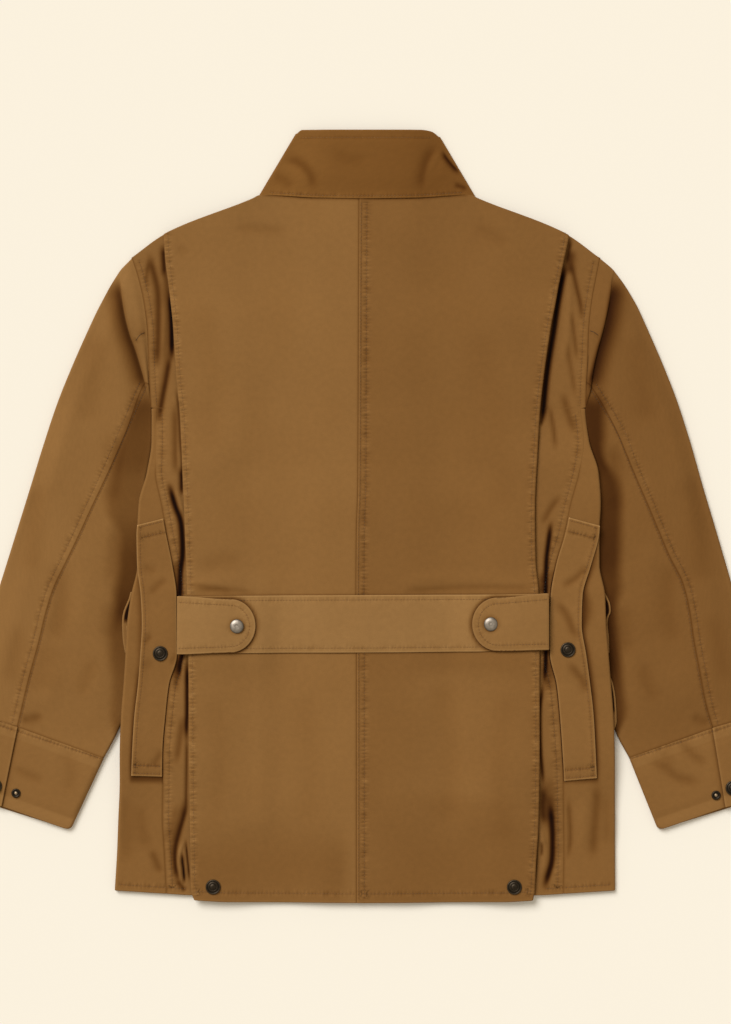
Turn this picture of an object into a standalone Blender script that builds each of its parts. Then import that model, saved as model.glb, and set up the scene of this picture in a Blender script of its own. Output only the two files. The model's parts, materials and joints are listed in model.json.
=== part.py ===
"""Field jacket of cotton twill, lying flat on its front with its back up.

Seen from above, the collar is at the top (+Y) and +X is to the right. Z = 0 is the surface it lies on.
Each cut piece is one wall of cloth. Heights come from one set of functions, in which every wall lies on
the wall below it. All tables and sizes are in millimetres and turn into metres in make_mesh.
"""

import math

import bmesh
import bpy
from mathutils import Vector

MM = 0.001

WALL = 2.0  # thickness of a cloth wall
GAP = 0.4  # air between walls that lie on each other
LAYER = WALL + GAP
HOLLOW = 2.4  # air between the upper and lower wall of the body and of a sleeve
SEAM = 0.3  # half of the air between two pieces at a seam
FOLD_STEPS = 4  # straight stretches round a folded edge

SIDES = {"left": -1, "right": 1}

# Body outline, from the shoulder down to the hem. Each row is a height Y and the X of the line on the
# left and on the right half.
BODY_SIDE = (  # y, left, right: armhole seam down to 145, then the fold at the side
    (284, -257.4, 258.5),
    (267, -251.7, 255.2),
    (236, -244.3, 249.5),
    (204, -240.2, 246.1),
    (172, -239.0, 245.0),
    (145, -238.0, 243.4),
    (118, -236.2, 242.7),
    (83, -235.6, 246.3),
    (48, -240.5, 256.5),
    (14, -249.5, 258.9),
    (-20, -251.0, 257.4),
    (-54, -251.0, 257.6),
    (-87, -257.5, 263.5),
    (-119, -261.8, 264.5),
    (-151, -263.5, 267.1),
    (-185, -265.9, 270.0),
    (-220, -268.6, 272.7),
    (-256, -270.0, 274.0),
    (-292, -270.3, 274.5),
    (-330, -272.0, 274.8),
    (-370, -273.7, 275.0),
    (-413, -276.3, 275.2),
)
SIDE_SEAM = (  # y, left, right
    (118, -230.4, 237.0),
    (83, -229.8, 240.4),
    (48, -230.6, 235.0),
    (14, -224.0, 225.8),
    (-20, -217.8, 218.4),
    (-54, -210.9, 208.4),
    (-87, -206.2, 202.4),
    (-119, -205.8, 200.9),
    (-151, -205.4, 201.4),
    (-185, -214.6, 209.0),
    (-220, -218.6, 212.6),
    (-256, -221.6, 215.2),
    (-292, -222.3, 217.3),
    (-330, -223.0, 218.0),
    (-370, -221.0, 218.6),
    (-413, -218.8, 218.0),
)
PLEAT_EDGE = (  # y, left, right: free outer edge of the centre back
    (310, -219.9, 224.6),
    (255, -215.5, 212.9),
    (212, -211.8, 204.7),
    (154, -208.3, 196.2),
    (115, -204.3, 192.0),
    (83, -202.5, 190.0),
    (5, -199.0, 186.3),
    (-48, -197.0, 187.0),
    (-84, -195.8, 190.0),
    (-150, -194.0, 191.1),
    (-280, -193.5, 191.1),
    (-342, -193.0, 190.1),
    (-383, -192.6, 187.7),
    (-412, -191.8, 186.3),
    (-422, -188.5, 184.5),
)

CENTRE_SEAM = (  # y, x
    (349, -6.3),
    (215, -6.9),
    (34, -7.6),
    (-20, -9.2),
    (-84, -9.6),
    (-155, -9.1),
    (-425, -9.1),
)

# Edges across the body: distance from the middle, Y.
BACK_TOP = ((0, 349.3), (56, 349.8), (90, 352.4), (116, 353.6), (122, 350.4), (220, 310.6), (257, 284.4))
FRONT_TOP = ((0, 270), (38, 290), (70, 315), (100, 340), (118, 351), (132, 345), (220, 310.6), (257, 284.4))
SIDE_HEM = ((0, -419), (190, -416.8), (218, -415.2), (275, -411.6))
BACK_HEM = ((0, -425.2), (150, -423.9), (194, -421.4))

# Lines that every body piece shares, so that stacked walls bend in the same places.
TOP_STATION = 267
STATIONS = (236, 204, 172, 145, 118, 83, 48, 14, -20, -54, -87, -119, -151, -185, -220, -256, -292, -330, -370)
UNDERARM = 118  # the side folds round from this station down
LINES = (38, 90, 120, 150, 170)  # distances from the middle
OUTER_LINE = 205
UNDERLAY_LINE = 152  # inner end of the pleat underlay
RETURN_LINE = 171  # inner end of the cloth turned under at the pleat

# Sleeve rows, from the armhole down to the cuff seam: a point on the outer fold, on the back seam and on
# the inner fold, how much of the armhole's curve the row still has, and how far its upper wall swells
# into a fold. The fold in the second row hangs over from the sleeve cap.
LEFT_SLEEVE = (  # outer x, y, seam x, y, inner x, y, curve, swell
    (-257.4, 284.0, -240.0, 145.0, -237.2, 126.0, 1.00, 0),
    (-274.8, 265.7, -253.4, 119.0, -238.0, 92.0, 0.75, 3.2),
    (-292.2, 232.3, -265.5, 90.4, -240.0, 60.0, 0.50, -1.0),
    (-307.3, 200.4, -277.6, 61.8, -243.0, 27.0, 0.28, 0.7),
    (-323.8, 163.0, -290.8, 32.1, -239.0, -1.0, 0.12, 0),
    (-339.2, 124.5, -303.7, 4.6, -237.5, -29.5, 0.04, 0.9),
    (-354.6, 78.3, -316.1, -22.9, -237.5, -61.4, 0, 0),
    (-368.9, 32.1, -328.2, -48.2, -239.1, -92.2, 0, -0.6),
    (-384.3, -17.4, -343.0, -79.0, -242.4, -121.9, 0, 1.0),
    (-396.4, -55.9, -351.3, -105.4, -246.8, -147.2, 0, -0.5),
    (-410.7, -101.0, -360.1, -141.7, -253.4, -182.4, 0, 0.8),
    (-426.1, -149.4, -369.5, -175.8, -262.2, -213.2, 0, 0),
    (-437.1, -186.8, -376.6, -204.4, -274.9, -241.8, 0, 0.6),
    (-445.9, -214.3, -383.2, -231.9, -288.1, -266.5, 0, 0),
)
RIGHT_SLEEVE = (
    (258.5, 284.0, 246.0, 147.0, 243.6, 126.0, 1.00, 0),
    (277.0, 268.0, 262.0, 122.0, 247.4, 92.0, 0.75, 3.0),
    (296.0, 237.0, 276.0, 97.0, 254.6, 60.0, 0.50, -1.2),
    (311.0, 205.0, 288.0, 68.0, 256.0, 27.0, 0.28, 0.5),
    (327.5, 167.0, 300.0, 38.0, 250.0, -1.0, 0.12, 0.4),
    (342.0, 130.0, 312.0, 10.0, 245.0, -29.0, 0.04, 0),
    (357.0, 84.0, 323.5, -18.0, 242.5, -61.0, 0, -0.5),
    (371.0, 35.0, 335.0, -45.0, 243.0, -92.0, 0, 0.8),
    (386.0, -15.0, 349.0, -73.0, 246.0, -122.0, 0, 0),
    (397.5, -54.0, 356.5, -103.0, 251.0, -147.0, 0, 1.0),
    (411.0, -101.0, 362.0, -140.0, 258.0, -182.0, 0, -0.6),
    (426.0, -149.0, 368.0, -172.0, 266.0, -213.0, 0, 0.5),
    (437.0, -187.0, 374.0, -203.0, 277.5, -242.0, 0, 0),
    (446.2, -214.3, 382.4, -233.0, 290.5, -266.0, 0, 0),
)
FRONT_SEAM_AT = 0.35  # place of the hidden sleeve seam, from the inner to the outer fold
SLEEVE_TABLES = {"left": LEFT_SLEEVE, "right": RIGHT_SLEEVE}

# Cuff hem: outer fold, edge of the tab end, inner fold.
CUFF_HEM = {
    "left": ((-454.7, -304.5), (-400.8, -318.8), (-324.8, -343.5)),
    "right": ((455.0, -304.5), (396.7, -319.9), (322.4, -343.5)),
}
CUFF_ROWS = (0.008, 0.35, 0.7, 1.0)  # places down the cuff
TAB_LENGTH = 22  # raised stretch of the cuff's tab end
TAB_SLOPE = 45  # where the tab end is down again
UNDERLAP = 18  # the other end of the cuff, under the tab end

# Collar band, from the middle front under the left side, across the back, and under the right side.
COLLAR_BAND = (  # seam x, y, upper edge x, y
    (-0.5, 270.8, -0.5, 345),
    (-38, 290.8, -28, 365),
    (-70, 315.8, -48, 391),
    (-100, 340.8, -66, 413),
)
COLLAR_FOLD = {"left": (-118.0, 352.0, -77.0, 421.0), "right": (121.0, 352.4, 80.5, 421.0)}
COLLAR_BACK = (  # seam x, y, upper edge x, y
    (-106, 354.0, -69, 424.8),
    (-86, 353.0, -57, 424.8),
    (-54, 351.0, -36, 424.8),
    (0, 350.2, 0, 424.8),
    (56, 351.0, 38, 424.8),
    (90, 353.2, 60, 424.8),
    (108, 354.2, 72, 424.8),
)
COLLAR_ROWS = (0, 0.3, 0.65, 0.93, 1.0)  # places from the seam to the upper edge

BELT_TOP = -87.2
BELT_BOTTOM = -151.0
BELT_ENDS = (-205.5, 200.3)
TAB_TIPS = {"left": -121.0, "right": 117.7}
TAB_TURN = 24  # length of a tab's rounded end

WELT = {  # y of top and bottom, then rows of y, outer x
    "left": (
        (-6, -249.6), (-20, -250.8), (-54, -250.1), (-87, -246.0), (-119, -244.5), (-151, -246.2),
        (-185, -249.0), (-220, -253.0), (-256, -255.3), (-287, -256.6),
    ),
    "right": (
        (-9, 257.0), (-20, 256.2), (-54, 247.2), (-87, 237.8), (-119, 236.6), (-151, 241.4),
        (-185, 246.2), (-220, 250.0), (-256, 252.0), (-290, 253.7),
    ),
}  # fmt: skip
WELT_SETBACK = 1.5  # from the side seam to the welt's inner edge

POCKET_LINE = 150  # a grid line of the pocket and its flap
FLAP_INNER = 124
FLAP_OUTER = (  # y, left, right: the flap's edge bulges from under the side
    (-90, 259.5, 268.0),
    (-98, 262.8, 269.5),
    (-108, 266.0, 268.2),
    (-119, 267.0, 267.0),
    (-134, 266.5, 267.3),
    (-150, 264.0, 267.7),
)
POCKET_INNER = 128
POCKET_OUTER = (  # y, left, right
    (-121, 262.5, 265.5),
    (-151, 262.0, 266.5),
    (-170, 262.5, 266.8),
    (-185, 263.5, 272.0),
    (-202, 265.0, 274.8),
    (-226, 266.5, 275.9),
    (-238, 267.5, 272.5),
    (-256, 268.0, 272.0),
    (-292, 268.5, 272.5),
    (-330, 270.0, 272.8),
)
PLACKET_HALF_WIDTH = 34

SNAP_RADIUS = 8.3
SNAP_THICK = 2.6
STUD_RADIUS = 5.2
STUD_THICK = 2.4
SNAP_SIDES = 24
SNAP_SEAT = 0.3  # air under a snap
SNAPS = {  # x, y of each snap cap
    "snap_tab_left": (-140.9, -120.6),
    "snap_tab_right": (137.4, -118.3),
    "snap_welt_left": (-224.8, -150.5),
    "snap_welt_right": (222.0, -146.4),
    "snap_hem_left": (-167.4, -407.6),
    "snap_hem_right": (163.7, -407.7),
    "snap_cuff_left": (-407.9, -296.8),
    "snap_cuff_right": (404.2, -299.0),
    "stud_cuff_left": (-384.6, -304.9),
    "stud_cuff_right": (386.0, -307.2),
}

MATERIALS = {  # colour, roughness, metallic
    "cotton_twill": ((0.26, 0.13, 0.04, 1), 0.9, 0.0),
    "collar_twill": ((0.20, 0.09, 0.025, 1), 0.9, 0.0),
    "belt_twill": ((0.30, 0.16, 0.055, 1), 0.9, 0.0),
    "snap_gunmetal": ((0.03, 0.026, 0.02, 1), 0.4, 1.0),
    "snap_silver": ((0.35, 0.29, 0.22, 1), 0.45, 1.0),
}


# ---- small helpers ----


def clear_scene():
    for old in list(bpy.data.objects):
        bpy.data.objects.remove(old, do_unlink=True)


def make_material(name):
    colour, roughness, metallic = MATERIALS[name]
    material = bpy.data.materials.new(name)
    material.use_nodes = True
    shader = material.node_tree.nodes["Principled BSDF"]
    shader.inputs["Base Color"].default_value = colour
    shader.inputs["Roughness"].default_value = roughness
    shader.inputs["Metallic"].default_value = metallic
    return material


def mix(start, end, share):
    return start + (end - start) * share


def ramp(value, zero_at, one_at):
    """0 at and before zero_at, 1 at and after one_at, straight between them; one_at may be the lower."""
    return min(1.0, max(0.0, (value - zero_at) / (one_at - zero_at)))


def look_up(table, at, column=1):
    """The value in a column of a table at a place in its first column, straight between the rows."""
    rows = sorted(table)
    if at <= rows[0][0]:
        return rows[0][column]
    for below, above in zip(rows, rows[1:]):
        if at <= above[0]:
            return mix(below[column], above[column], ramp(at, below[0], above[0]))
    return rows[-1][column]


# ---- heights: the underside of each wall at a place ----


def hollow(y):
    """Air between the upper and lower walls, pressed flat towards the shoulders."""
    return mix(GAP, HOLLOW, ramp(y, 267, 204))


def sleeve_lift(x, y):
    """The body's sides lie on the sleeves, between the underarm and the cuffs."""
    sleeve_top = 2 * WALL + HOLLOW + GAP
    return sleeve_top * ramp(abs(x), 120, OUTER_LINE) * min(ramp(y, 118, 48), ramp(y, -330, -256))


def pocket_base(x, y):
    flap_under = ramp(abs(x), 90, 120) * min(ramp(y, -54, -87), ramp(y, -185, -151))
    return sleeve_lift(x, y) + LAYER * flap_under


def placket_lift(x):
    """The fronts and all above them lie on the fly along the middle."""
    return LAYER * ramp(abs(x), 90, 38)


def front_base(x, y):
    pocket_under = ramp(abs(x), 90, 120) * min(ramp(y, -87, -119), ramp(y, -370, -330))
    return pocket_base(x, y) + LAYER * pocket_under + placket_lift(x)


def upper_base(x, y):
    """Side back, and the part of the front that has folded round the side."""
    return front_base(x, y) + WALL + hollow(y)


def return_base(x, y):
    return upper_base(x, y) + LAYER * ramp(abs(x), 90, 150)


def back_base(x, y):
    return return_base(x, y) + LAYER * ramp(abs(x), 120, 170)


def belt_base(x, y):
    return back_base(x, y) + LAYER


def tab_base(x, y):
    return belt_base(x, y) + LAYER


def welt_base(x, y):
    return upper_base(x, y) + LAYER


def sleeve_upper_base(x, y):
    return WALL + hollow(y)


def collar_back_base(x, y):
    return LAYER + placket_lift(x)


def ground(x, y):
    return 0.0


def on_wall(base, x, y):
    """A point in the middle of a wall's thickness."""
    return Vector((x, y, base(x, y) + WALL / 2))


# ---- cloth walls ----


def grid_normal(grid, row, column):
    rows, columns = len(grid), len(grid[0])
    down = grid[min(row + 1, rows - 1)][column] - grid[max(row - 1, 0)][column]
    across = grid[row][min(column + 1, columns - 1)] - grid[row][max(column - 1, 0)]
    return across.cross(down).normalized()


def outwards(grid, row, column):
    """True where the columns run away from the middle, which decides how a cell is split in two.

    Stacked walls split their cells the same way, so that they stay apart where they bend.
    """
    return abs(grid[row][column + 1].x) >= abs(grid[row][column].x)


def make_mesh(name, points, faces, material):
    mesh = bpy.data.meshes.new(name)
    mesh.from_pydata([point * MM for point in points], [], faces)
    shape = bmesh.new()
    shape.from_mesh(mesh)
    loose = [vertex for vertex in shape.verts if not vertex.link_faces]
    bmesh.ops.delete(shape, geom=loose, context="VERTS")
    bmesh.ops.recalc_face_normals(shape, faces=shape.faces)
    if shape.calc_volume(signed=True) < 0:
        bmesh.ops.reverse_faces(shape, faces=shape.faces)
    shape.to_mesh(mesh)
    shape.free()
    mesh.materials.append(material)
    piece = bpy.data.objects.new(name, mesh)
    bpy.context.scene.collection.objects.link(piece)
    return piece


def cloth_wall(name, grid, material, has_cell=None):
    """A closed wall round a grid of points, half the thickness to each side of it.

    The grid has rows of points. has_cell(row, column) may leave cells out.
    """
    rows, columns = len(grid), len(grid[0])
    count = rows * columns
    normals = [[grid_normal(grid, i, j) for j in range(columns)] for i in range(rows)]
    near = [grid[i][j] + normals[i][j] * (WALL / 2) for i in range(rows) for j in range(columns)]
    far = [grid[i][j] - normals[i][j] * (WALL / 2) for i in range(rows) for j in range(columns)]
    cells = {
        (i, j)
        for i in range(rows - 1)
        for j in range(columns - 1)
        if has_cell is None or has_cell(i, j)
    }
    faces = []
    for i, j in sorted(cells):
        a = i * columns + j
        b = a + 1
        c = a + columns + 1
        d = a + columns
        halves = ((a, b, c), (a, c, d)) if outwards(grid, i, j) else ((a, b, d), (b, c, d))
        faces += halves
        faces += [tuple(count + corner for corner in reversed(half)) for half in halves]
        edges = (((i - 1, j), a, b), ((i, j + 1), b, c), ((i + 1, j), c, d), ((i, j - 1), d, a))
        for neighbour, start, end in edges:
            if neighbour not in cells:
                faces.append((start, count + start, count + end, end))
    return make_mesh(name, near + far, faces, material)


def fold_points(edge, inward, low, high):
    """Points round a folded edge, from the upper wall to the lower one.

    edge is the outermost place in plan and inward the plan direction back into the cloth. low and high
    are the heights of the middle of the two walls.
    """
    radius = (high - low) / 2
    centre = edge + inward * (radius + WALL / 2)
    points = []
    for step in range(FOLD_STEPS + 1):
        angle = math.pi * (0.5 - step / FOLD_STEPS)
        out = -inward * radius * math.cos(angle)
        height = (high + low) / 2 + radius * math.sin(angle)
        points.append(Vector((centre.x + out.x, centre.y + out.y, height)))
    return points


def column_heights(line, top, hem):
    """The Y of each row along one line of a body piece; line gives X at a Y."""
    highest = TOP_STATION
    for _ in range(12):
        highest = look_up(top, abs(line(highest)))
    lowest = look_up(hem, abs(line(STATIONS[-1])))
    return [highest, (highest + TOP_STATION) / 2, TOP_STATION, *STATIONS, lowest]


def body_column(line, top, hem, base):
    return [on_wall(base, line(y), y) for y in column_heights(line, top, hem)]


def fixed_line(side, distance):
    return lambda y: SIDES[side] * distance


def centre_line(side):
    return lambda y: look_up(CENTRE_SEAM, y) + SIDES[side] * SEAM


def table_line(table, side, offset=0.0):
    """X along a table's line on one side, moved outwards by offset."""
    column = 1 if side == "left" else 2
    return lambda y: look_up(table, y, column) + SIDES[side] * offset


def rows_of(columns):
    return [list(row) for row in zip(*columns)]


def inward_of(side):
    return Vector((-SIDES[side], 0, 0))


# ---- body ----


def add_back(side, material):
    """Centre back panel, from the centre seam to the pleat, with the cloth turned under there."""
    edge = table_line(PLEAT_EDGE, side)
    upper_lines = [centre_line(side), *(fixed_line(side, distance) for distance in LINES)]
    columns = [body_column(line, BACK_TOP, BACK_HEM, back_base) for line in upper_lines]
    folds = []
    for y in column_heights(edge, BACK_TOP, BACK_HEM):
        place = Vector((edge(y), y, 0))
        inner = place.x - SIDES[side] * LAYER
        low = return_base(inner, y) + WALL / 2
        folded = fold_points(place, inward_of(side), low, low + LAYER)
        folded.append(on_wall(return_base, SIDES[side] * RETURN_LINE, y))
        folds.append(folded)
    columns += [list(column) for column in zip(*folds)]
    cloth_wall(f"back_{side}", rows_of(columns), material)


def add_side_back(side, material):
    """From the armhole and the side seam to the inner end of the pleat underlay."""
    outer_armhole = table_line(BODY_SIDE, side, -SEAM)
    outer_seam = table_line(SIDE_SEAM, side, -SEAM)
    pleat = table_line(PLEAT_EDGE, side)

    def outer(y):
        return outer_armhole(y) if y > UNDERARM else outer_seam(y)

    def between(y):
        return mix(pleat(y), outer(y), 0.5)

    lines = [fixed_line(side, UNDERLAY_LINE), fixed_line(side, LINES[-1]), pleat, between, outer]
    columns = [body_column(line, BACK_TOP, SIDE_HEM, upper_base) for line in lines]
    cloth_wall(f"side_back_{side}", rows_of(columns), material)


def add_front(side, material):
    """Front panel underneath, folded round the side and up to the side seam."""
    edge = table_line(BODY_SIDE, side)
    armhole = table_line(BODY_SIDE, side, -SEAM)
    seam = table_line(SIDE_SEAM, side, SEAM)
    lines = [fixed_line(side, distance) for distance in (SEAM, *LINES, OUTER_LINE)]
    columns = [body_column(line, FRONT_TOP, SIDE_HEM, front_base) for line in lines]
    wraps = []
    for y in column_heights(edge, FRONT_TOP, SIDE_HEM):
        place = Vector((edge(y), y, 0))
        low = front_base(place.x, y) + WALL / 2
        high = upper_base(place.x, y) + WALL / 2
        folded = fold_points(place, inward_of(side), low, high)[::-1]
        if y > UNDERARM:
            folded[0] = on_wall(front_base, armhole(y), y)
        start = folded[-1].x
        for share in (0.5, 1.0):
            folded.append(on_wall(upper_base, mix(start, seam(y), share), y))
        wraps.append(folded)
    columns += [list(column) for column in zip(*wraps)]
    first_wrap = len(lines)
    first_row = 3 + STATIONS.index(UNDERARM)
    grid = rows_of(columns)
    cloth_wall(f"front_{side}", grid, material, lambda i, j: j < first_wrap or i >= first_row)


def panel_grid(distances, heights, sides, base):
    """Rows of points at given distances from the middle and given heights on the body."""
    return [[on_wall(base, sides * distance, y) for distance in distances] for y in heights]


def add_placket(material):
    edges = (-PLACKET_HALF_WIDTH, 0, PLACKET_HALF_WIDTH)
    heights = (TOP_STATION, *STATIONS, look_up(SIDE_HEM, 0))
    cloth_wall("front_placket", panel_grid(edges, heights, 1, ground), material)


def pocket_grid(inner, edge, side, base):
    """Rows of points from the straight inner edge to the curved outer one."""
    grid = []
    for y, *outer in edge:
        distances = (inner, POCKET_LINE, OUTER_LINE, outer[side == "right"])
        grid.append([on_wall(base, SIDES[side] * distance, y) for distance in distances])
    return grid


def add_pocket(side, material):
    flap = pocket_grid(FLAP_INNER, FLAP_OUTER, side, sleeve_lift)
    cloth_wall(f"pocket_flap_{side}", flap, material)
    pocket = pocket_grid(POCKET_INNER, POCKET_OUTER, side, pocket_base)
    cloth_wall(f"pocket_{side}", pocket, material)


def add_welt(side, material):
    """Stitched strip beside the side seam, lying on the front where that has folded round."""
    seam = table_line(SIDE_SEAM, side, WELT_SETBACK)
    grid = []
    for y, outer in WELT[side]:
        places = [mix(seam(y), outer, share) for share in (0, 0.5, 1)]
        grid.append([on_wall(welt_base, x, y) for x in places])
    cloth_wall(f"welt_{side}", grid, material)


# ---- belt ----


def add_belt(material):
    left_end, right_end = BELT_ENDS
    inner = [-distance for distance in reversed(LINES)] + [0, *LINES]
    places = (left_end, *inner, right_end)
    heights = (BELT_TOP, -119, BELT_BOTTOM)
    cloth_wall("belt", [[on_wall(belt_base, x, y) for x in places] for y in heights], material)


def add_belt_tab(side, material):
    """Tab sewn over the belt's end, with a half-round tip towards the middle."""
    outer = BELT_ENDS[0] if side == "left" else BELT_ENDS[1]
    tip = TAB_TIPS[side]
    middle = (BELT_TOP + BELT_BOTTOM) / 2
    half = (BELT_TOP - BELT_BOTTOM) / 2
    grid = []
    for height in (0.98, 0.8, 0.5, 0, -0.5, -0.8, -0.98):
        y = middle + half * height
        start = tip + SIDES[side] * TAB_TURN * (1 - math.sqrt(1 - height * height))
        places = (start, SIDES[side] * 150, SIDES[side] * 170, outer)
        grid.append([on_wall(tab_base, x, y) for x in places])
    cloth_wall(f"belt_tab_{side}", grid, material)


# ---- sleeves and cuffs ----


def spread(start, end, steps):
    return [start.lerp(end, step / steps) for step in range(steps + 1)]


def plan(x, y):
    return Vector((x, y, 0))


def at_height(points, base):
    return [on_wall(base, point.x, point.y) for point in points]


def bent(points, table_row, side):
    """Moves a sleeve row's points by its share of the armhole's curve."""
    outer_y, inner_y, share = table_row[1], table_row[5], table_row[6]
    if not share:
        return points
    armhole = table_line(BODY_SIDE, side, SEAM + 0.2)
    first = SLEEVE_TABLES[side][0]
    moved = []
    for point in points:
        down = ramp(point.y, outer_y, inner_y)
        y = mix(first[1], first[5], down)
        straight = mix(first[0], first[4], down)
        moved.append(point + Vector((share * (armhole(y) - straight), 0, 0)))
    return moved


def sleeve_row(table_row, side):
    """Points of the two sleeve pieces along one row: (upper piece, under piece)."""
    outer = plan(*table_row[0:2])
    seam = plan(*table_row[2:4])
    inner = plan(*table_row[4:6])
    low = WALL / 2
    rows = []
    for edge, share, over_steps, under_steps in (
        (outer, FRONT_SEAM_AT, 4, 2),
        (inner, FRONT_SEAM_AT, 3, 1),
    ):
        inward = (seam - edge).normalized()
        high = sleeve_upper_base(edge.x, edge.y) + WALL / 2
        folded = fold_points(edge, inward, low, high)
        away = outer if edge is inner else inner
        under_seam = inner.lerp(outer, share) + (edge - away).normalized() * SEAM
        over = spread(seam - inward * SEAM, plan(folded[0].x, folded[0].y), over_steps)[:-1]
        under = spread(plan(folded[-1].x, folded[-1].y), under_seam, under_steps)[1:]
        over = at_height(over, sleeve_upper_base)
        if edge is outer:
            for step, point in enumerate(over):
                point.z += table_row[7] * math.sin(math.pi * step / over_steps)
        points = over + folded + at_height(under, ground)
        rows.append(bent(points, table_row, side))
    return rows


def add_sleeve(side, material):
    rows = [sleeve_row(table_row, side) for table_row in SLEEVE_TABLES[side]]
    cloth_wall(f"sleeve_upper_{side}", [row[0] for row in rows], material)
    cloth_wall(f"sleeve_under_{side}", [row[1] for row in rows], material)


def add_cuff(side, material):
    """Band round the wrist, from its tab end round both folds to the end under the tab."""
    top_row = SLEEVE_TABLES[side][-1]
    top = (plan(*top_row[0:2]), plan(*top_row[2:4]), plan(*top_row[4:6]))
    hem = [plan(*place) for place in CUFF_HEM[side]]
    low = WALL / 2
    high = WALL + HOLLOW + WALL / 2
    grid = []
    for down in CUFF_ROWS:
        outer, slit, inner = [start.lerp(end, down) for start, end in zip(top, hem)]
        out = (outer - slit).normalized()
        back = (inner - slit).normalized()
        outer_fold = fold_points(outer, -out, low, high)
        inner_fold = fold_points(inner, -back, low, high)[::-1]
        tab = [slit, slit + out * TAB_LENGTH, slit + out * TAB_SLOPE]
        row = [
            Vector((point.x, point.y, height))
            for point, height in zip(tab, (high + LAYER, high + LAYER, high))
        ]
        row += outer_fold
        middle = (outer_fold[-1] + inner_fold[0]) / 2
        row += [middle, *inner_fold]
        for reach in (-TAB_SLOPE, 0, UNDERLAP):
            point = slit + out * reach if reach > 0 else slit - back * reach
            row.append(Vector((point.x, point.y, high)))
        grid.append(row)
    cloth_wall(f"cuff_{side}", grid, material)


# ---- collar ----


def add_collar(material):
    """Stand-up collar pressed flat: the back across the top, each end folded under at its side."""
    mirrored = [(-row[0], row[1], -row[2], row[3]) for row in reversed(COLLAR_BAND)]
    grid = []
    for rise in COLLAR_ROWS:
        row = [band_point(place, rise, ground) for place in COLLAR_BAND]
        row += collar_fold("left", rise)[::-1]
        row += [band_point(place, rise, collar_back_base) for place in COLLAR_BACK]
        row += collar_fold("right", rise)
        row += [band_point(place, rise, ground) for place in mirrored]
        grid.append(row)
    cloth_wall("collar", grid, material)


def band_point(place, rise, base):
    """A point of the collar band, from its seam (rise 0) to its upper edge (rise 1)."""
    seam_x, seam_y, edge_x, edge_y = place
    return on_wall(base, mix(seam_x, edge_x, rise), mix(seam_y, edge_y, rise))


def collar_fold(side, rise):
    edge = band_point(COLLAR_FOLD[side], rise, ground)
    return fold_points(edge, inward_of(side), edge.z, edge.z + LAYER)


# ---- snaps ----


def snap_base(name):
    """The function that gives the height of the cloth's upper face under a snap."""
    if "tab" in name:
        return tab_base
    if "welt" in name:
        return welt_base
    if "hem" in name:
        return back_base
    return sleeve_upper_base


def add_snap(name, material):
    x, y = SNAPS[name]
    radius = STUD_RADIUS if name.startswith("stud") else SNAP_RADIUS
    thick = STUD_THICK if name.startswith("stud") else SNAP_THICK
    base = snap_base(name)
    ring = [(x + radius * math.cos(turn), y + radius * math.sin(turn)) for turn in snap_turns()]
    bottom = max(base(*place) for place in ring) + WALL + SNAP_SEAT
    if name.startswith("snap_cuff"):
        bottom += LAYER
    levels = ((1.0, 0.0), (1.0, 0.45), (0.85, 0.85), (0.45, 1.0))
    points = [
        Vector((x + radius * wide * math.cos(turn), y + radius * wide * math.sin(turn), bottom + thick * up))
        for wide, up in levels
        for turn in snap_turns()
    ]
    faces = [tuple(range(SNAP_SIDES)), tuple(range(3 * SNAP_SIDES, 4 * SNAP_SIDES))]
    for level in range(3):
        for step in range(SNAP_SIDES):
            here = level * SNAP_SIDES + step
            beside = level * SNAP_SIDES + (step + 1) % SNAP_SIDES
            faces.append((here, beside, beside + SNAP_SIDES, here + SNAP_SIDES))
    make_mesh(name, points, faces, material)


def snap_turns():
    return [2 * math.pi * step / SNAP_SIDES for step in range(SNAP_SIDES)]


def main():
    clear_scene()
    twill = make_material("cotton_twill")
    collar_twill = make_material("collar_twill")
    belt_twill = make_material("belt_twill")
    gunmetal = make_material("snap_gunmetal")
    silver = make_material("snap_silver")
    for side in SIDES:
        add_back(side, twill)
        add_side_back(side, twill)
        add_front(side, twill)
        add_pocket(side, twill)
        add_welt(side, twill)
        add_sleeve(side, twill)
        add_cuff(side, twill)
        add_belt_tab(side, belt_twill)
    add_placket(twill)
    add_belt(belt_twill)
    add_collar(collar_twill)
    for name in SNAPS:
        add_snap(name, silver if "tab" in name else gunmetal)


main()
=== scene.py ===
"""Looks of a field jacket of brown cotton twill, lying flat on its front with its back up.

Every cut piece is a thin closed shell on the form of its CAD solid, with rolled edges, listed creases,
puckered seams and real stitches. X runs to the right and Y towards the collar, as seen from above.
Sizes are in millimetres in the CAD's frame and turn into metres in new_object. Those of the materials and
the stage are in metres.
"""

import json
import math

import bpy
import numpy as np
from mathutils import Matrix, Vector
from mathutils.bvhtree import BVHTree


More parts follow.
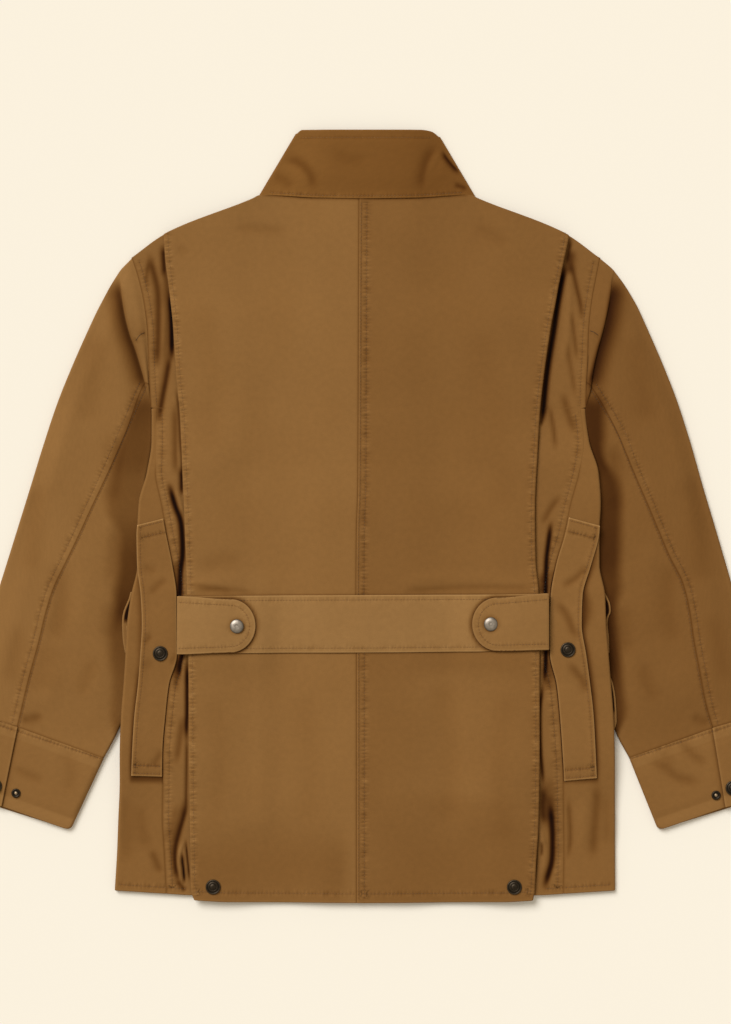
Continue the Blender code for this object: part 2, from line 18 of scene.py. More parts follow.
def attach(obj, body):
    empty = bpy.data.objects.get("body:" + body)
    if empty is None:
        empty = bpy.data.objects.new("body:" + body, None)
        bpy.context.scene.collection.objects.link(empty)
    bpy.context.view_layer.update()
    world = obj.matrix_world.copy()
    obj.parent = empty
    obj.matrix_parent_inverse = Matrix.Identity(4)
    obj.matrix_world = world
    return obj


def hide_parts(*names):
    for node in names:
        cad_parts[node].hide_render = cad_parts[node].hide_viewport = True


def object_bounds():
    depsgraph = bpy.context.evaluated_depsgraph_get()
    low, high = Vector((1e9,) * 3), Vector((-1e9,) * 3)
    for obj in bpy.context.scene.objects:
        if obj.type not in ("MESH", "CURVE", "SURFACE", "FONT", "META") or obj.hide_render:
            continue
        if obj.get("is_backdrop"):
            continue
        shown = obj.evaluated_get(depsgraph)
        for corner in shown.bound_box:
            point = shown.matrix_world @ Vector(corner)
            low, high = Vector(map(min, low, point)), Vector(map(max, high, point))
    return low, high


MM = 0.001
SIDES = {"left": -1, "right": 1}

# Layers, as in the CAD: walls of 2 mm with 0.4 mm between them. The cloth that shows is thinner.
WALL = 2.0
GAP = 0.4
LAYER = WALL + GAP
HOLLOW = 2.4  # air between the two walls of the body and of a sleeve
SEAM = 0.3
THICK = 1.5
FOLD_STEPS = 8  # pieces of a rounded fold

# ---- outlines, as in the CAD ----

BODY_SIDE = (  # y, left, right: armhole seam down to 118, then the fold at the side
    (284, -257.4, 258.5), (267, -251.7, 255.2), (236, -244.3, 249.5), (204, -240.2, 246.1),
    (172, -239.0, 245.0), (145, -238.0, 243.4), (118, -236.2, 242.7), (83, -235.6, 246.3),
    (48, -240.5, 256.5), (14, -249.5, 258.9), (-20, -251.0, 257.4), (-54, -251.0, 257.6),
    (-87, -257.5, 263.5), (-119, -261.8, 264.5), (-151, -263.5, 267.1), (-185, -265.9, 270.0),
    (-220, -268.6, 272.7), (-256, -270.0, 274.0), (-292, -270.3, 274.5), (-330, -272.0, 274.8),
    (-370, -273.7, 275.0), (-413, -276.3, 275.2),
)
SIDE_SEAM = (  # y, left, right
    (118, -230.4, 237.0), (83, -229.8, 240.4), (48, -230.6, 235.0), (14, -224.0, 225.8),
    (-20, -217.8, 218.4), (-54, -210.9, 208.4), (-87, -206.2, 202.4), (-119, -205.8, 200.9),
    (-151, -205.4, 201.4), (-185, -214.6, 209.0), (-220, -218.6, 212.6), (-256, -221.6, 215.2),
    (-292, -222.3, 217.3), (-330, -223.0, 218.0), (-370, -221.0, 218.6), (-413, -218.8, 218.0),
)
PLEAT_EDGE = (  # y, left, right: free outer edge of the centre back
    (310, -222.3, 224.6), (277, -219.8, 217.6), (255, -216.8, 212.9), (229, -213.6, 208.1),
    (212, -211.8, 204.7), (154, -208.3, 196.2), (115, -204.3, 192.0), (83, -202.5, 190.0),
    (5, -199.0, 186.3), (-48, -197.0, 187.0), (-84, -195.8, 190.0), (-150, -194.0, 191.1),
    (-280, -193.5, 191.1), (-342, -193.0, 190.1), (-383, -192.6, 187.7), (-412, -191.8, 186.3),
    (-422, -188.5, 184.5),
)
CENTRE_SEAM = (  # y, x
    (349, -6.3), (215, -6.9), (34, -7.6), (-20, -9.2), (-84, -9.6), (-155, -9.1), (-425, -9.1),
)
BACK_TOP = (  # distance from the middle, y
    (0, 349.3), (56, 349.8), (90, 352.4), (116, 353.6), (122, 350.4), (220, 310.6), (257, 284.4),
)
FRONT_TOP = (
    (0, 270), (38, 290), (70, 315), (100, 340), (118, 351), (132, 345), (220, 310.6), (257, 284.4),
)
SIDE_HEM = ((0, -419), (190, -416.8), (218, -415.2), (275, -411.6))
BACK_HEM = ((0, -425.2), (150, -423.9), (194, -421.4))
UNDERARM = 118
UNDERLAY_LINE = 152
RETURN_LINE = 171

SLEEVE_ROWS = {  # outer x, y, back seam x, y, inner x, y, share of the armhole's curve
    "left": (
        (-257.4, 284.0, -240.0, 145.0, -237.2, 126.0, 1.00),
        (-274.8, 265.7, -253.4, 119.0, -238.0, 92.0, 0.75),
        (-292.2, 232.3, -265.5, 90.4, -240.0, 60.0, 0.50),
        (-307.3, 200.4, -277.6, 61.8, -243.0, 27.0, 0.28),
        (-323.8, 163.0, -290.8, 32.1, -239.0, -1.0, 0.12),
        (-339.2, 124.5, -303.7, 4.6, -237.5, -29.5, 0.04),
        (-354.6, 78.3, -316.1, -22.9, -237.5, -61.4, 0),
        (-368.9, 32.1, -328.2, -48.2, -239.1, -92.2, 0),
        (-384.3, -17.4, -343.0, -79.0, -242.4, -121.9, 0),
        (-396.4, -55.9, -351.3, -105.4, -246.8, -147.2, 0),
        (-410.7, -101.0, -360.1, -141.7, -253.4, -182.4, 0),
        (-426.1, -149.4, -369.5, -175.8, -262.2, -213.2, 0),
        (-437.1, -186.8, -376.6, -204.4, -274.9, -241.8, 0),
        (-445.9, -214.3, -383.2, -231.9, -288.1, -266.5, 0),
    ),
    "right": (
        (258.5, 284.0, 246.0, 147.0, 243.6, 126.0, 1.00),
        (277.0, 268.0, 262.0, 122.0, 247.4, 92.0, 0.75),
        (296.0, 237.0, 276.0, 97.0, 254.6, 60.0, 0.50),
        (311.0, 205.0, 288.0, 68.0, 256.0, 27.0, 0.28),
        (327.5, 167.0, 300.0, 38.0, 250.0, -1.0, 0.12),
        (342.0, 130.0, 312.0, 10.0, 245.0, -29.0, 0.04),
        (357.0, 84.0, 323.5, -18.0, 242.5, -61.0, 0),
        (371.0, 35.0, 335.0, -45.0, 243.0, -92.0, 0),
        (386.0, -15.0, 349.0, -73.0, 246.0, -122.0, 0),
        (397.5, -54.0, 356.5, -103.0, 251.0, -147.0, 0),
        (411.0, -101.0, 362.0, -140.0, 258.0, -182.0, 0),
        (426.0, -149.0, 368.0, -172.0, 266.0, -213.0, 0),
        (437.0, -187.0, 374.0, -203.0, 277.5, -242.0, 0),
        (446.2, -214.3, 382.4, -233.0, 290.5, -266.0, 0),
    ),
}
FRONT_SEAM_AT = 0.35  # place of the hidden sleeve seam, from the inner to the outer fold

CUFF_HEM = {  # outer fold, edge of the tab end, inner fold
    "left": ((-454.7, -304.5), (-400.8, -318.8), (-324.8, -345.5)),
    "right": ((455.0, -304.5), (396.7, -319.9), (322.4, -345.5)),
}
TAB_LENGTH = 22
TAB_SLOPE = 45
UNDERLAP = 18
CORNER = 5

COLLAR_SIDE = (  # seam x, y, upper edge x, y: from the middle front to the fold at the side
    (0, 270.8, 0, 345), (38, 290.8, 28, 365), (70, 315.8, 48, 391), (100, 340.8, 66, 413),
)
COLLAR_FOLD = {"left": (-118.0, 352.0, -77.0, 421.0), "right": (121.0, 352.4, 82.5, 417.5)}
COLLAR_BACK = (  # seam x, y, upper edge x, y
    (-106, 354.0, -69, 424.8), (-86, 353.0, -57, 424.8), (-54, 351.0, -36, 424.8), (0, 350.2, 0, 424.8),
    (56, 351.0, 38, 424.8), (90, 353.2, 60, 424.8), (108, 354.2, 72, 423.2),
)

BELT_ENDS = {"left": -205.5, "right": 200.3}
BELT_TOP = ((-205.5, -88.4), (0, -87.3), (120, -86.8), (200.3, -85.4))
BELT_BOTTOM = ((-205.5, -150.0), (0, -149.4), (120, -148.2), (200.3, -145.0))
TAB_TIPS = {"left": -121.0, "right": 117.7}
TAB_TURN = 27
TAB_MIDDLE = {"left": -120.2, "right": -118.5}
TAB_HALF = 28.6
TAB_SHIFT = {"left": 0.9, "right": 3.2}  # how far its middle rises towards its end
TAB_SPREAD = {"left": 0.09, "right": 0.06}  # how much wider it gets there
TAB_INSET = 6.0

WELT_OUTER = {  # y, x
    "left": (
        (-6, -249.6), (-20, -250.8), (-54, -250.1), (-87, -246.0), (-119, -244.5), (-151, -246.2),
        (-185, -249.0), (-220, -253.0), (-256, -255.3), (-287, -256.6),
    ),
    "right": (
        (-9, 257.0), (-20, 256.2), (-54, 247.2), (-87, 237.8), (-119, 236.6), (-151, 241.4),
        (-185, 246.2), (-220, 250.0), (-256, 252.0), (-290, 253.7),
    ),
}
WELT_TOP = {"left": (-3.2, -10.2), "right": (-2.0, -11.0)}  # y at the side seam and at the outer edge
WELT_BOTTOM = {"left": (-285.5, -284.6), "right": (-290.2, -287.2)}
WELT_SETBACK = 1.5
WELT_BARS = (14.0, 11.0)  # height of the doubled bar at its top and its bottom
WELT_RISE = 1.7
WELT_WIDTH, WELT_LENGTH = 36, 284

FLAP_INNER = 124
FLAP_HEIGHTS = (-84, -150)  # y of its top and its bottom
FLAP_OUTER = (  # y, left, right: its outer edge
    (-84, 258.0, 262.5), (-90, 259.5, 266.0), (-98, 262.8, 269.0), (-105, 265.5, 269.5),
    (-112, 266.8, 266.5), (-119, 267.0, 265.8), (-134, 266.5, 267.3), (-150, 264.0, 267.7),
)
POCKET_INNER = 128
POCKET_HEIGHTS = (-121, -330)
POCKET_OUTER = (
    (-121, 262.5, 265.5), (-151, 262.0, 266.5), (-170, 262.5, 266.8), (-185, 263.5, 272.0),
    (-202, 265.0, 274.8), (-226, 266.5, 275.9), (-238, 267.5, 272.5), (-256, 268.0, 272.0),
    (-292, 268.5, 272.5), (-330, 270.0, 272.8),
)
HOLES = {  # Y range of the painted shadow in the opening beside each outer edge
    "pocket_flap_left": (-88, -114),
    "pocket_flap_right": (-82, -112),
    "pocket_right": (-182, -214),
}
PLACKET_HALF_WIDTH = 34
PLACKET_HEIGHTS = (267, -419)

SNAPS = {  # x, y
    "snap_tab_left": (-140.9, -120.6),
    "snap_tab_right": (137.4, -118.3),
    "snap_welt_left": (-224.8, -150.5),
    "snap_welt_right": (222.0, -146.4),
    "snap_hem_left": (-167.4, -407.6),
    "snap_hem_right": (163.7, -407.7),
    "snap_cuff_left": (-407.9, -296.8),
    "snap_cuff_right": (404.2, -299.0),
    "stud_cuff_left": (-384.6, -304.9),
    "stud_cuff_right": (386.0, -307.2),
}

# ---- creases: height, width to the left and right of the route, darkness of the painted shade (below 0 a painted highlight), route from its start ----

BACK_CREASES = (
    # the first three have no height: broad patches, darker along the hem and lighter below the belt on the
    # right
    (0, 40, 60, 0.17, ((-200, -392), (-100, -385), (-10, -388))),
    (0, 40, 60, 0.05, ((10, -388), (100, -390), (200, -395))),
    (0, 60, 60, -0.10, ((100, -160), (105, -240), (100, -320))),
    (-0.5, 2.5, 5, 0.22, ((-196, -74), (-170, -78), (-140, -84))),
    (-0.8, 3, 4, 0.16, ((-194, -83), (-165, -80), (-146, -81), (-114, -86))),
    (0.8, 6, 8, 0, ((-193, -74), (-160, -69), (-127, -75))),
    (-0.8, 9, 12, 0.08, ((-186, -59), (-154, -48), (-132, -55))),
    (-0.9, 5, 7, 0.10, ((-150, 319), (-114, 316), (-81, 314))),
    (-0.7, 4, 6, 0.08, ((-209, 296), (-202, 293), (-194, 287))),
    (-0.8, 7, 9, 0.08, ((116, 322), (139, 310), (162, 296))),
    (-0.9, 3, 4, 0.14, ((38, -83), (82, -80), (126, -78), (188, -79))),
    (0.9, 7, 9, 0, ((33, -74), (82, -69), (148, -70))),
    (-0.6, 14, 18, 0.05, ((-176, 238), (-168, 150), (-173, 62))),
    (0.7, 16, 18, 0, ((-138, 238), (-129, 150), (-138, 51))),
    (-0.6, 15, 20, 0.04, ((126, 205), (148, 106), (154, -4))),
    (0.6, 16, 16, 0, ((82, 216), (99, 106), (93, -4))),
    (-0.5, 14, 16, 0.05, ((-72, -191), (-59, -268), (-65, -345))),
    (-0.6, 14, 16, 0.06, ((82, -180), (95, -257), (89, -345))),
    (-0.5, 10, 16, 0.05, ((-165, -191), (-158, -268), (-167, -356))),
    (-0.6, 12, 14, 0.06, ((159, -191), (148, -268), (155, -367))),
)
SIDE_CREASES = (
    # left: the gap along the pleat, then the folds beside it, down to the loop at the hem
    (-0.6, 2.4, 4.0, 0.85, ((-222.5, 302), (-222, 285), (-221.5, 276), (-220.5, 260))),
    (-0.6, 3.9, 3.9, 0.50, ((-222, 276), (-218, 253), (-215.5, 238), (-214, 222))),
    (-1.6, 2.6, 3.3, 0.98, ((-215, 252), (-214, 229), (-213, 205), (-213, 168))),
    (-1.8, 3.5, 4.0, 0.78, ((-214, 185), (-219, 154), (-223.5, 130), (-227.5, 106), (-229, 97))),
    (-0.8, 4.0, 4.6, 0.62, ((-238, 294), (-236, 279), (-230, 256), (-228, 238), (-228, 200), (-230, 158))),
    (-0.3, 5.0, 3.0, 0.25, ((-224, 262), (-221, 240), (-220, 200), (-221, 160))),
    (1.4, 2.8, 2.8, -0.05, ((-221.5, 238), (-221.5, 210), (-222.5, 180))),
    (-0.7, 2.6, 2.6, 0.38, ((-237.5, 284), (-240, 273), (-241, 262), (-238.5, 249))),
    (-1.2, 2.8, 3.9, 0.42, ((-209.5, 128), (-209, 84), (-208.5, 60), (-206.5, 40))),
    (-1.0, 1.5, 1.7, 0.62, ((-208.5, 145), (-205.5, 117), (-203.5, 82), (-201.5, 60), (-201, 18))),
    (-1.6, 2.0, 2.9, 0.88, ((-202.5, 57), (-202, 31), (-201.5, 20))),
    (-1.8, 3.0, 3.3, 0.97, ((-217, 40), (-209, 12), (-203, -5), (-201, -26), (-201, -44), (-203, -62),
                            (-204.5, -112))),
    (-0.6, 3.3, 3.9, 0.40, ((-207, -44), (-209, -61), (-209, -77), (-208.5, -90))),
    (1.8, 2.5, 3.0, -0.06, ((-208.5, 31), (-204, 16), (-199.5, 0))),
    (-1.8, 2.0, 3.7, 0.95, ((-200.5, -125), (-200.5, -150), (-203, -162), (-204.5, -182))),
    (-0.8, 3.3, 3.9, 0.50, ((-206, -152), (-208, -167), (-207, -182), (-205.5, -193))),
    (-0.8, 1.5, 1.5, 0.42, ((-195, -152), (-195.5, -171), (-196, -191))),
    (-1.6, 1.9, 2.4, 0.92, ((-195.5, -156), (-195.5, -187), (-195.5, -215), (-196, -228), (-196, -250))),
    (-1.2, 1.8, 2.0, 0.62, ((-196, -237), (-196, -264), (-197, -312), (-197.5, -332))),
    (-1.0, 3.9, 3.9, 0.38, ((-199, -215), (-201.5, -231), (-205.5, -259), (-208, -277))),
    (-1.6, 3.2, 4.2, 0.84, ((-197, -306), (-199, -326), (-204.5, -346), (-209, -364), (-209.5, -382),
                            (-207, -396), (-203, -410))),
    (0, 8, 5, 0.25, ((-206, -312), (-212, -340), (-215, -366))),
    (2.4, 1.3, 1.5, -0.30, ((-197, -357), (-202.5, -363), (-205.5, -379), (-203, -397), (-199, -408))),
    (-2.0, 1.7, 1.7, 0.98, ((-202, -369), (-201.5, -380), (-200.5, -389), (-199, -406))),
    (-1.2, 1.4, 1.5, 0.88, ((-198, -352), (-197, -365), (-194.5, -391), (-193.5, -406))),
    (-1.6, 3.0, 3.0, 0.60, ((-208.5, -400), (-201.5, -409), (-196, -414))),
    (-1.4, 4.0, 4.0, 0.32, ((-236.5, -365), (-230.5, -380), (-224.5, -396))),
    (-0.8, 7.0, 9.0, 0.14, ((-248, -312), (-244.5, -345), (-237, -374))),
    (-0.8, 8.0, 8.0, 0.12, ((-264.5, -301), (-261, -345), (-263, -389))),
    # right
    (-0.6, 2.6, 2.0, 0.70, ((226.5, 308), (225, 298), (222.5, 284), (220.5, 274))),
    (-2.0, 3.4, 3.2, 0.985, ((221, 282), (212.5, 238), (207.5, 205), (202, 172), (198, 141), (194.5, 100))),
    (-0.7, 5.5, 5.5, 0.58, ((228.5, 296), (226.5, 285), (225.5, 273), (226, 263))),
    (-1.0, 3.0, 2.6, 0.56, ((225, 286), (229, 268), (233.5, 248), (237, 232), (238.5, 212))),
    (-0.8, 2.2, 2.4, 0.34, ((226.5, 230), (229, 208), (231.5, 188), (233, 168))),
    (1.4, 4.0, 4.0, -0.04, ((222, 273), (224.5, 249), (223, 205), (216.5, 161))),
    (-1.0, 2.8, 2.8, 0.28, ((222.5, 196), (225, 172), (229, 148), (231.5, 126))),
    (-1.4, 4.0, 4.0, 0.36, ((217, 139), (220.5, 123), (225, 108), (230, 96), (236, 89))),
    (-1.0, 2.6, 2.9, 0.38, ((202, 126), (206.5, 101), (208.5, 84), (209.5, 69))),
    (-1.2, 2.2, 2.2, 0.74, ((196, 123), (194.5, 109), (192.5, 96))),
    (-0.8, 1.2, 1.3, 0.46, ((192.5, 99), (188, 67), (186, 35), (185, 11), (185.5, -48), (187, -85))),
    (-1.3, 3.5, 3.5, 0.32, ((216.5, 24), (207.5, 14), (201, 4), (193, -12))),
    (-1.8, 2.5, 2.7, 0.97, ((204.5, -2), (202, -22), (199, -48), (198, -80), (198, -112))),
    (0, 3.0, 2.0, 0.40, ((194.5, -55), (194, -75), (194, -110))),
    (-1.2, 3.1, 3.1, 0.28, ((194.5, -61), (192.5, -75), (193, -88))),
    (-1.2, 2.6, 2.6, 0.30, ((205.5, -55), (204, -70), (203.5, -88))),
    (-2.0, 2.6, 2.4, 0.97, ((198, -118), (198, -145), (197.5, -165), (196, -188))),
    (-0.8, 6.1, 3.3, 0.42, ((201, -154), (202, -167), (201, -182), (197.5, -194))),
    (-0.8, 1.3, 1.3, 0.50, ((190.5, -147), (190, -160), (190.5, -177))),
    (-1.8, 2.6, 2.0, 0.86, ((195.5, -178), (191.5, -209), (191, -226), (192, -257), (196, -301))),
    (-1.4, 4.6, 3.9, 0.70, ((194, -292), (195.5, -305), (195, -319), (196, -332), (198.5, -344))),
    (-0.6, 6.1, 4.4, 0.40, ((201, -303), (202.5, -319), (203.5, -338))),
    (0, 9, 9, 0.28, ((200, -280), (202, -305), (204, -330), (206, -352))),
    (-2.0, 3.0, 3.5, 0.93, ((203, -312), (205, -334), (206, -352), (205.5, -378), (201, -396), (196, -414))),
    (1.6, 1.3, 1.3, -0.15, ((199.5, -340), (202, -356), (202, -372), (199.5, -388), (195.5, -404))),
    (2.0, 2.6, 2.6, -0.05, ((191.5, -341), (197.5, -367), (197, -380), (193, -400))),
    (-1.4, 1.7, 1.7, 0.52, ((193.5, -357), (194.5, -366), (193.5, -376))),
    (-1.2, 1.4, 1.7, 0.72, ((189.5, -343), (188, -365), (188, -380), (185.5, -410))),
    (-0.8, 3.1, 2.2, 0.38, ((222.5, -305), (225, -345), (224.5, -365), (222, -382))),
    (-1.0, 5.5, 5.1, 0.32, ((253.5, -288), (254.5, -312), (251.5, -356), (250.5, -382))),
    (0.9, 7.0, 7.0, -0.03, ((239.5, -307), (239.5, -340), (237, -374))),
    (-0.7, 5.1, 5.1, 0.12, ((264.5, -301), (266.5, -334), (266, -367))),
)
WELT_SHADES = (  # y, darkness and width of the painted shade on the fold beside the left and the right welt
    (-21, 0.30, 2.0, 0.00, 3.0), (-48, 0.15, 3.0, 0.45, 5.0), (-76, 0.38, 4.0, 0.82, 4.0),
    (-103, 0.40, 5.0, 0.72, 10.0), (-131, 0.40, 5.0, 0.82, 4.0), (-158, 0.30, 4.0, 0.78, 4.5),
    (-186, 0.70, 3.5, 0.84, 4.5), (-213, 0.65, 3.5, 0.78, 4.0), (-241, 0.85, 3.0, 0.88, 3.5),
    (-268, 0.85, 3.0, 0.85, 3.5), (-288, 0.60, 2.5, 0.50, 3.0),
)
WELT_CREASES = (
    (-0.9, 4.0, 4.0, 0.20, ((-236.9, -88), (-232.5, -81), (-223.7, -73), (-214.9, -70))),
    (-0.9, 3.5, 3.5, 0.22, ((-244.1, -142), (-236.9, -133), (-232.5, -130))),
    (-0.8, 4.0, 4.0, 0.14, ((-243.5, -54), (-236.9, -59), (-228.1, -61))),
    (-0.9, 4.0, 4.0, 0.20, ((-222.6, -255), (-228.1, -267), (-235.8, -276))),
    (-0.7, 3.5, 3.5, 0.16, ((-214.9, -164), (-210.5, -158), (-206.1, -149))),
    (-0.7, 6.0, 6.0, 0.10, ((-249.0, -167), (-240.2, -164), (-231.4, -160))),
    (-1.0, 4.0, 4.0, 0.28, ((246.0, -51), (234.9, -65), (220.2, -75), (213.0, -80))),
    (-1.2, 4.0, 5.0, 0.32, ((206.8, -91), (215.7, -101), (222.5, -111), (228.1, -125), (236.6, -139))),
    (-1.1, 4.0, 5.0, 0.30, ((221.8, -158), (231.4, -171), (239.4, -182), (242.7, -198))),
)
SLEEVE_CREASES = (
    # the shade under the fold that hangs over from each sleeve cap
    (0, 2.8, 4.4, 0.68, ((-272, 265), (-271, 249), (-268.5, 232), (-265.5, 216), (-261, 199), (-255, 183),
                         (-250, 166), (-245.5, 150), (-241, 133))),
    (0, 4.4, 9.5, 0.48, ((-276.5, 265), (-275.5, 249), (-273, 232), (-270, 216), (-265.5, 199), (-259.5, 183),
                         (-254.5, 166), (-250, 150), (-245, 133))),
    (0, 5.5, 3.1, 0.80, ((273.5, 265), (272, 249), (269, 232), (266.5, 216), (262, 199), (257, 183),
                         (252.5, 166), (248.5, 150), (244.5, 133))),
    (0, 10, 5.5, 0.58, ((279, 265), (277.5, 249), (274.5, 232), (272, 216), (267.5, 199), (262.5, 183),
                        (258, 166), (254, 150), (250, 133))),
    (0, 12, 14, -0.09, ((-268, 285), (-259, 245), (-250, 205))),
    (-1.2, 10, 12, 0.12, ((-338, -48), (-334, -101), (-345, -145))),
    (-1.0, 8, 10, 0.12, ((-280, -92), (-281, -112), (-284, -142))),
    (1.2, 12, 12, 0, ((-314, -26), (-308, -81), (-318, -136))),
    (-1.0, 12, 14, 0.10, ((-358, 40), (-364, -15), (-369, -70))),
    (1.2, 14, 14, 0, ((-325, 128), (-336, 73), (-345, 18))),
    (-1.2, 14, 16, 0.10, ((-292, 205), (-301, 150), (-309, 95))),
    (-1.4, 9, 12, 0.22, ((-272, 95), (-274, 51), (-279, 7))),
    (-1.0, 8, 8, 0.16, ((-274, -4), (-278, -48), (-279, -81))),
    (0, 25, 25, 0.10, ((-352, -130), (-358, -165), (-360, -200))),
    (-0.9, 5, 6, 0.28, ((-382, -226), (-369, -223), (-353, -219))),
    (-0.8, 8, 8, 0.10, ((-296, -153), (-305, -175), (-316, -202))),
    (0.9, 9, 9, 0, ((-336, -158), (-345, -191), (-353, -215))),
    (-1.0, 10, 10, 0.10, ((-378, -114), (-386, -153), (-393, -191))),
    (-1.2, 10, 12, 0.12, ((337, -48), (333, -97), (342, -147))),
    (-1.1, 9, 9, 0.14, ((282, -92), (284, -125), (289, -158))),
    (1.2, 12, 12, 0, ((313, -26), (309, -81), (317, -136))),
    (-1.0, 12, 14, 0.10, ((361, 51), (368, -15), (372, -81))),
    (1.2, 14, 14, 0, ((328, 128), (339, 73), (348, 18))),
    (-1.2, 14, 16, 0.10, ((295, 205), (304, 150), (313, 95))),
    (-1.4, 9, 12, 0.22, ((271, 84), (276, 40), (278, -4))),
    (-0.9, 5, 6, 0.18, ((357, -220), (370, -225), (381, -231))),
    (-0.8, 8, 8, 0.12, ((302, -158), (311, -186), (324, -208))),
    (0.9, 9, 9, 0, ((337, -158), (348, -191), (357, -213))),
    (-1.0, 10, 10, 0.10, ((381, -103), (390, -147), (397, -191))),
)
CUFF_CREASES = (
    (-0.8, 5, 5, 0.14, ((-390, -276), (-369, -286), (-351, -292))),
    (-0.6, 8, 8, 0.08, ((-336, -252), (-323, -279), (-329, -312))),
    (-1.1, 5, 6, 0.22, ((308, -266), (319, -271), (332, -278), (344, -287), (358, -291), (375, -296))),
    (-1.0, 5, 5, 0.20, ((346, -248), (358, -260), (370, -270), (379, -275))),
    (-0.6, 6, 6, 0.10, ((324, -259), (333, -268), (337, -279))),
)
COLLAR_CREASES = (
    (-1.8, 1.6, 4.0, 0.80, ((83.5, 404), (90, 394), (96.5, 386), (106, 376))),
    (-1.0, 2.5, 3.5, 0.45, ((96.5, 366), (103, 364), (113.5, 360))),
    (-1.1, 3.5, 7.0, 0.30, ((80, 411), (69, 394), (63.5, 377), (61, 354))),
    (0.6, 3.0, 3.0, -0.06, ((86, 404), (77, 392), (70, 378))),
    (-1.2, 6.0, 4.5, 0.30, ((-93, 394), (-74, 389), (-60.5, 375), (-56.5, 354))),
    (-0.7, 6.0, 6.0, 0.18, ((-103, 374), (-89.5, 370), (-79, 360))),
    (-0.6, 6.0, 8.0, 0.08, ((-39, 403), (-17, 392), (5, 394))),
    (0.8, 6.0, 6.0, 0, ((87.5, 397), (84.5, 383), (82, 368))),
)
FRONT_CREASES = (  # on the hidden underside, so they only rise
    (0.9, 12, 14, 0.06, ((-190, 230), (-160, 160), (-170, 90))),
    (0.8, 14, 12, 0.06, ((-100, 250), (-80, 170), (-90, 60))),
    (0.9, 12, 15, 0.06, ((180, 220), (165, 150), (175, 60))),
    (0.8, 13, 13, 0.06, ((90, 200), (75, 120), (95, 20))),
    (0.8, 12, 12, 0.06, ((-80, -40), (-70, -110), (-85, -180))),
    (0.8, 12, 12, 0.06, ((85, -60), (70, -130), (80, -210))),
)

# The fold that hangs over from each sleeve cap: route, from the shoulder to the underarm.
CAP_FOLDS = {
    "left": (
        (-270.5, 270.0), (-267.7, 248.8), (-265.5, 232.3), (-262.2, 215.8), (-257.8, 199.3),
        (-251.8, 182.8), (-246.8, 166.3), (-241.6, 146.5),
    ),
    "right": (
        (273.5, 271.0), (270.9, 263.0), (268.2, 242.8), (263.8, 221.3), (259.1, 201.0), (254.2, 183.2),
        (249.8, 161.6), (247.4, 144.0),
    ),
}
CAP_SEAMS = {  # the short seam across each sleeve cap
    "left": ((-241.7, 202.6), (-247.6, 199.7), (-252.5, 193.2), (-253.7, 190.2)),
    "right": ((245.9, 204.6), (251.9, 202.2), (257.8, 197.5)),
}
CAP_INNER = {"left": (-238.8, 120.0), "right": (244.4, 121.0)}  # its end at the inner fold
SLEEVE_SHADES = (  # y, darkness and reach of the shade on the left and the right sleeve, beside the body
    (117, 0.55, 21, 0.70, 21), (89, 0.47, 32, 0.71, 18), (62, 0.45, 38, 0.70, 11),
    (34, 0.31, 36, 0.56, 21), (7, 0.32, 34, 0.62, 23), (-21, 0.45, 20, 0.66, 24),
    (-48, 0.57, 21, 0.68, 23), (-76, 0.60, 20, 0.57, 19), (-103, 0.72, 17, 0.71, 12),
    (-131, 0.44, 19, 0.71, 13), (-158, 0.38, 17, 0.73, 13), (-186, 0.32, 12, 0.61, 13),
    (-213, 0.28, 12, 0.55, 14), (-241, 0.44, 6, 0.64, 5), (-262, 0.36, 3, 0.43, 3),
)
PLEAT_LIFT = (  # y, left, right: how far the pleat's edge stands off
    (330, 0.0, 0.3), (296, 0.4, 1.0), (250, 0.8, 1.4), (205, 1.2, 1.6), (170, 1.0, 1.4),
    (125, 0.6, 1.0), (90, 0.6, 0.5), (40, 0.8, 0.2), (-5, 0.8, 0.2), (-45, 0.8, 0.6), (-84, 0.4, 0.4),
    (-119, 0.0, 0.0), (-152, 0.4, 0.4), (-190, 0.5, 0.5), (-260, 0.4, 0.4), (-345, 0.8, 0.8),
    (-385, 1.2, 1.2), (-422, 0.3, 0.3),
)

# ---- colours ----

BODY_COLOUR = (0.244, 0.120, 0.036)
COLLAR_COLOUR = (0.195, 0.085, 0.0195)
BELT_COLOUR = (0.296, 0.158, 0.0545)
THREAD_COLOUR = (0.250, 0.119, 0.035)
DEEPENING = (1.0, 1.28, 1.75)  # power of red, green and blue: shaded cloth is a redder brown
PIECE_LIGHTING = {  # painted light and shade: each piece lighter or darker as the light falls on it
    "back_left": 1.055,
    "back_right": 0.90,
    "side_back_right": 0.93,
    "front_left": 0.93,
    "front_right": 0.94,
    "welt_left": 0.95,
    "sleeve_upper_left": 1.08,
    "sleeve_under_left": 1.03,
    "sleeve_upper_right": 0.84,
    "sleeve_under_right": 0.84,
    "cuff_left": 1.02,
    "cuff_right": 0.97,
    "belt_tab_left": 1.02,
    "belt_tab_right": 0.88,
}
GUNMETAL = (0.027, 0.0195, 0.012)
SILVER = (0.335, 0.293, 0.25)


# ---- curves and noise ----

LATTICE_SIZE = 256
LATTICE = np.random.default_rng(11).uniform(-1, 1, (LATTICE_SIZE, LATTICE_SIZE))
# Grid lines beside an edge: the edge alone, or close lines that carry its stitches.
PLAIN = np.array([0.0])
CLOSE = np.array([0, 0.4, 1.0, 1.8, 2.8, 4.0, 5.2, 6.4, 7.8, 9.4, 11.2])


def mix(start, end, share):
    return start + (end - start) * share


def ramp(value, zero_at, one_at):
    """0 at and before zero_at, 1 at and after one_at, with a soft start and end."""
    share = np.clip((value - zero_at) / (one_at - zero_at), 0, 1)
    return share * share * (3 - 2 * share)


def bell(value, width):
    return np.exp(-((value / width) ** 2))


def outside(value):
    """How far a value is above 0."""
    return np.maximum(value, 0)


def unit(vectors):
    length = np.linalg.norm(vectors, axis=-1, keepdims=True)
    return vectors / np.maximum(length, 1e-9)


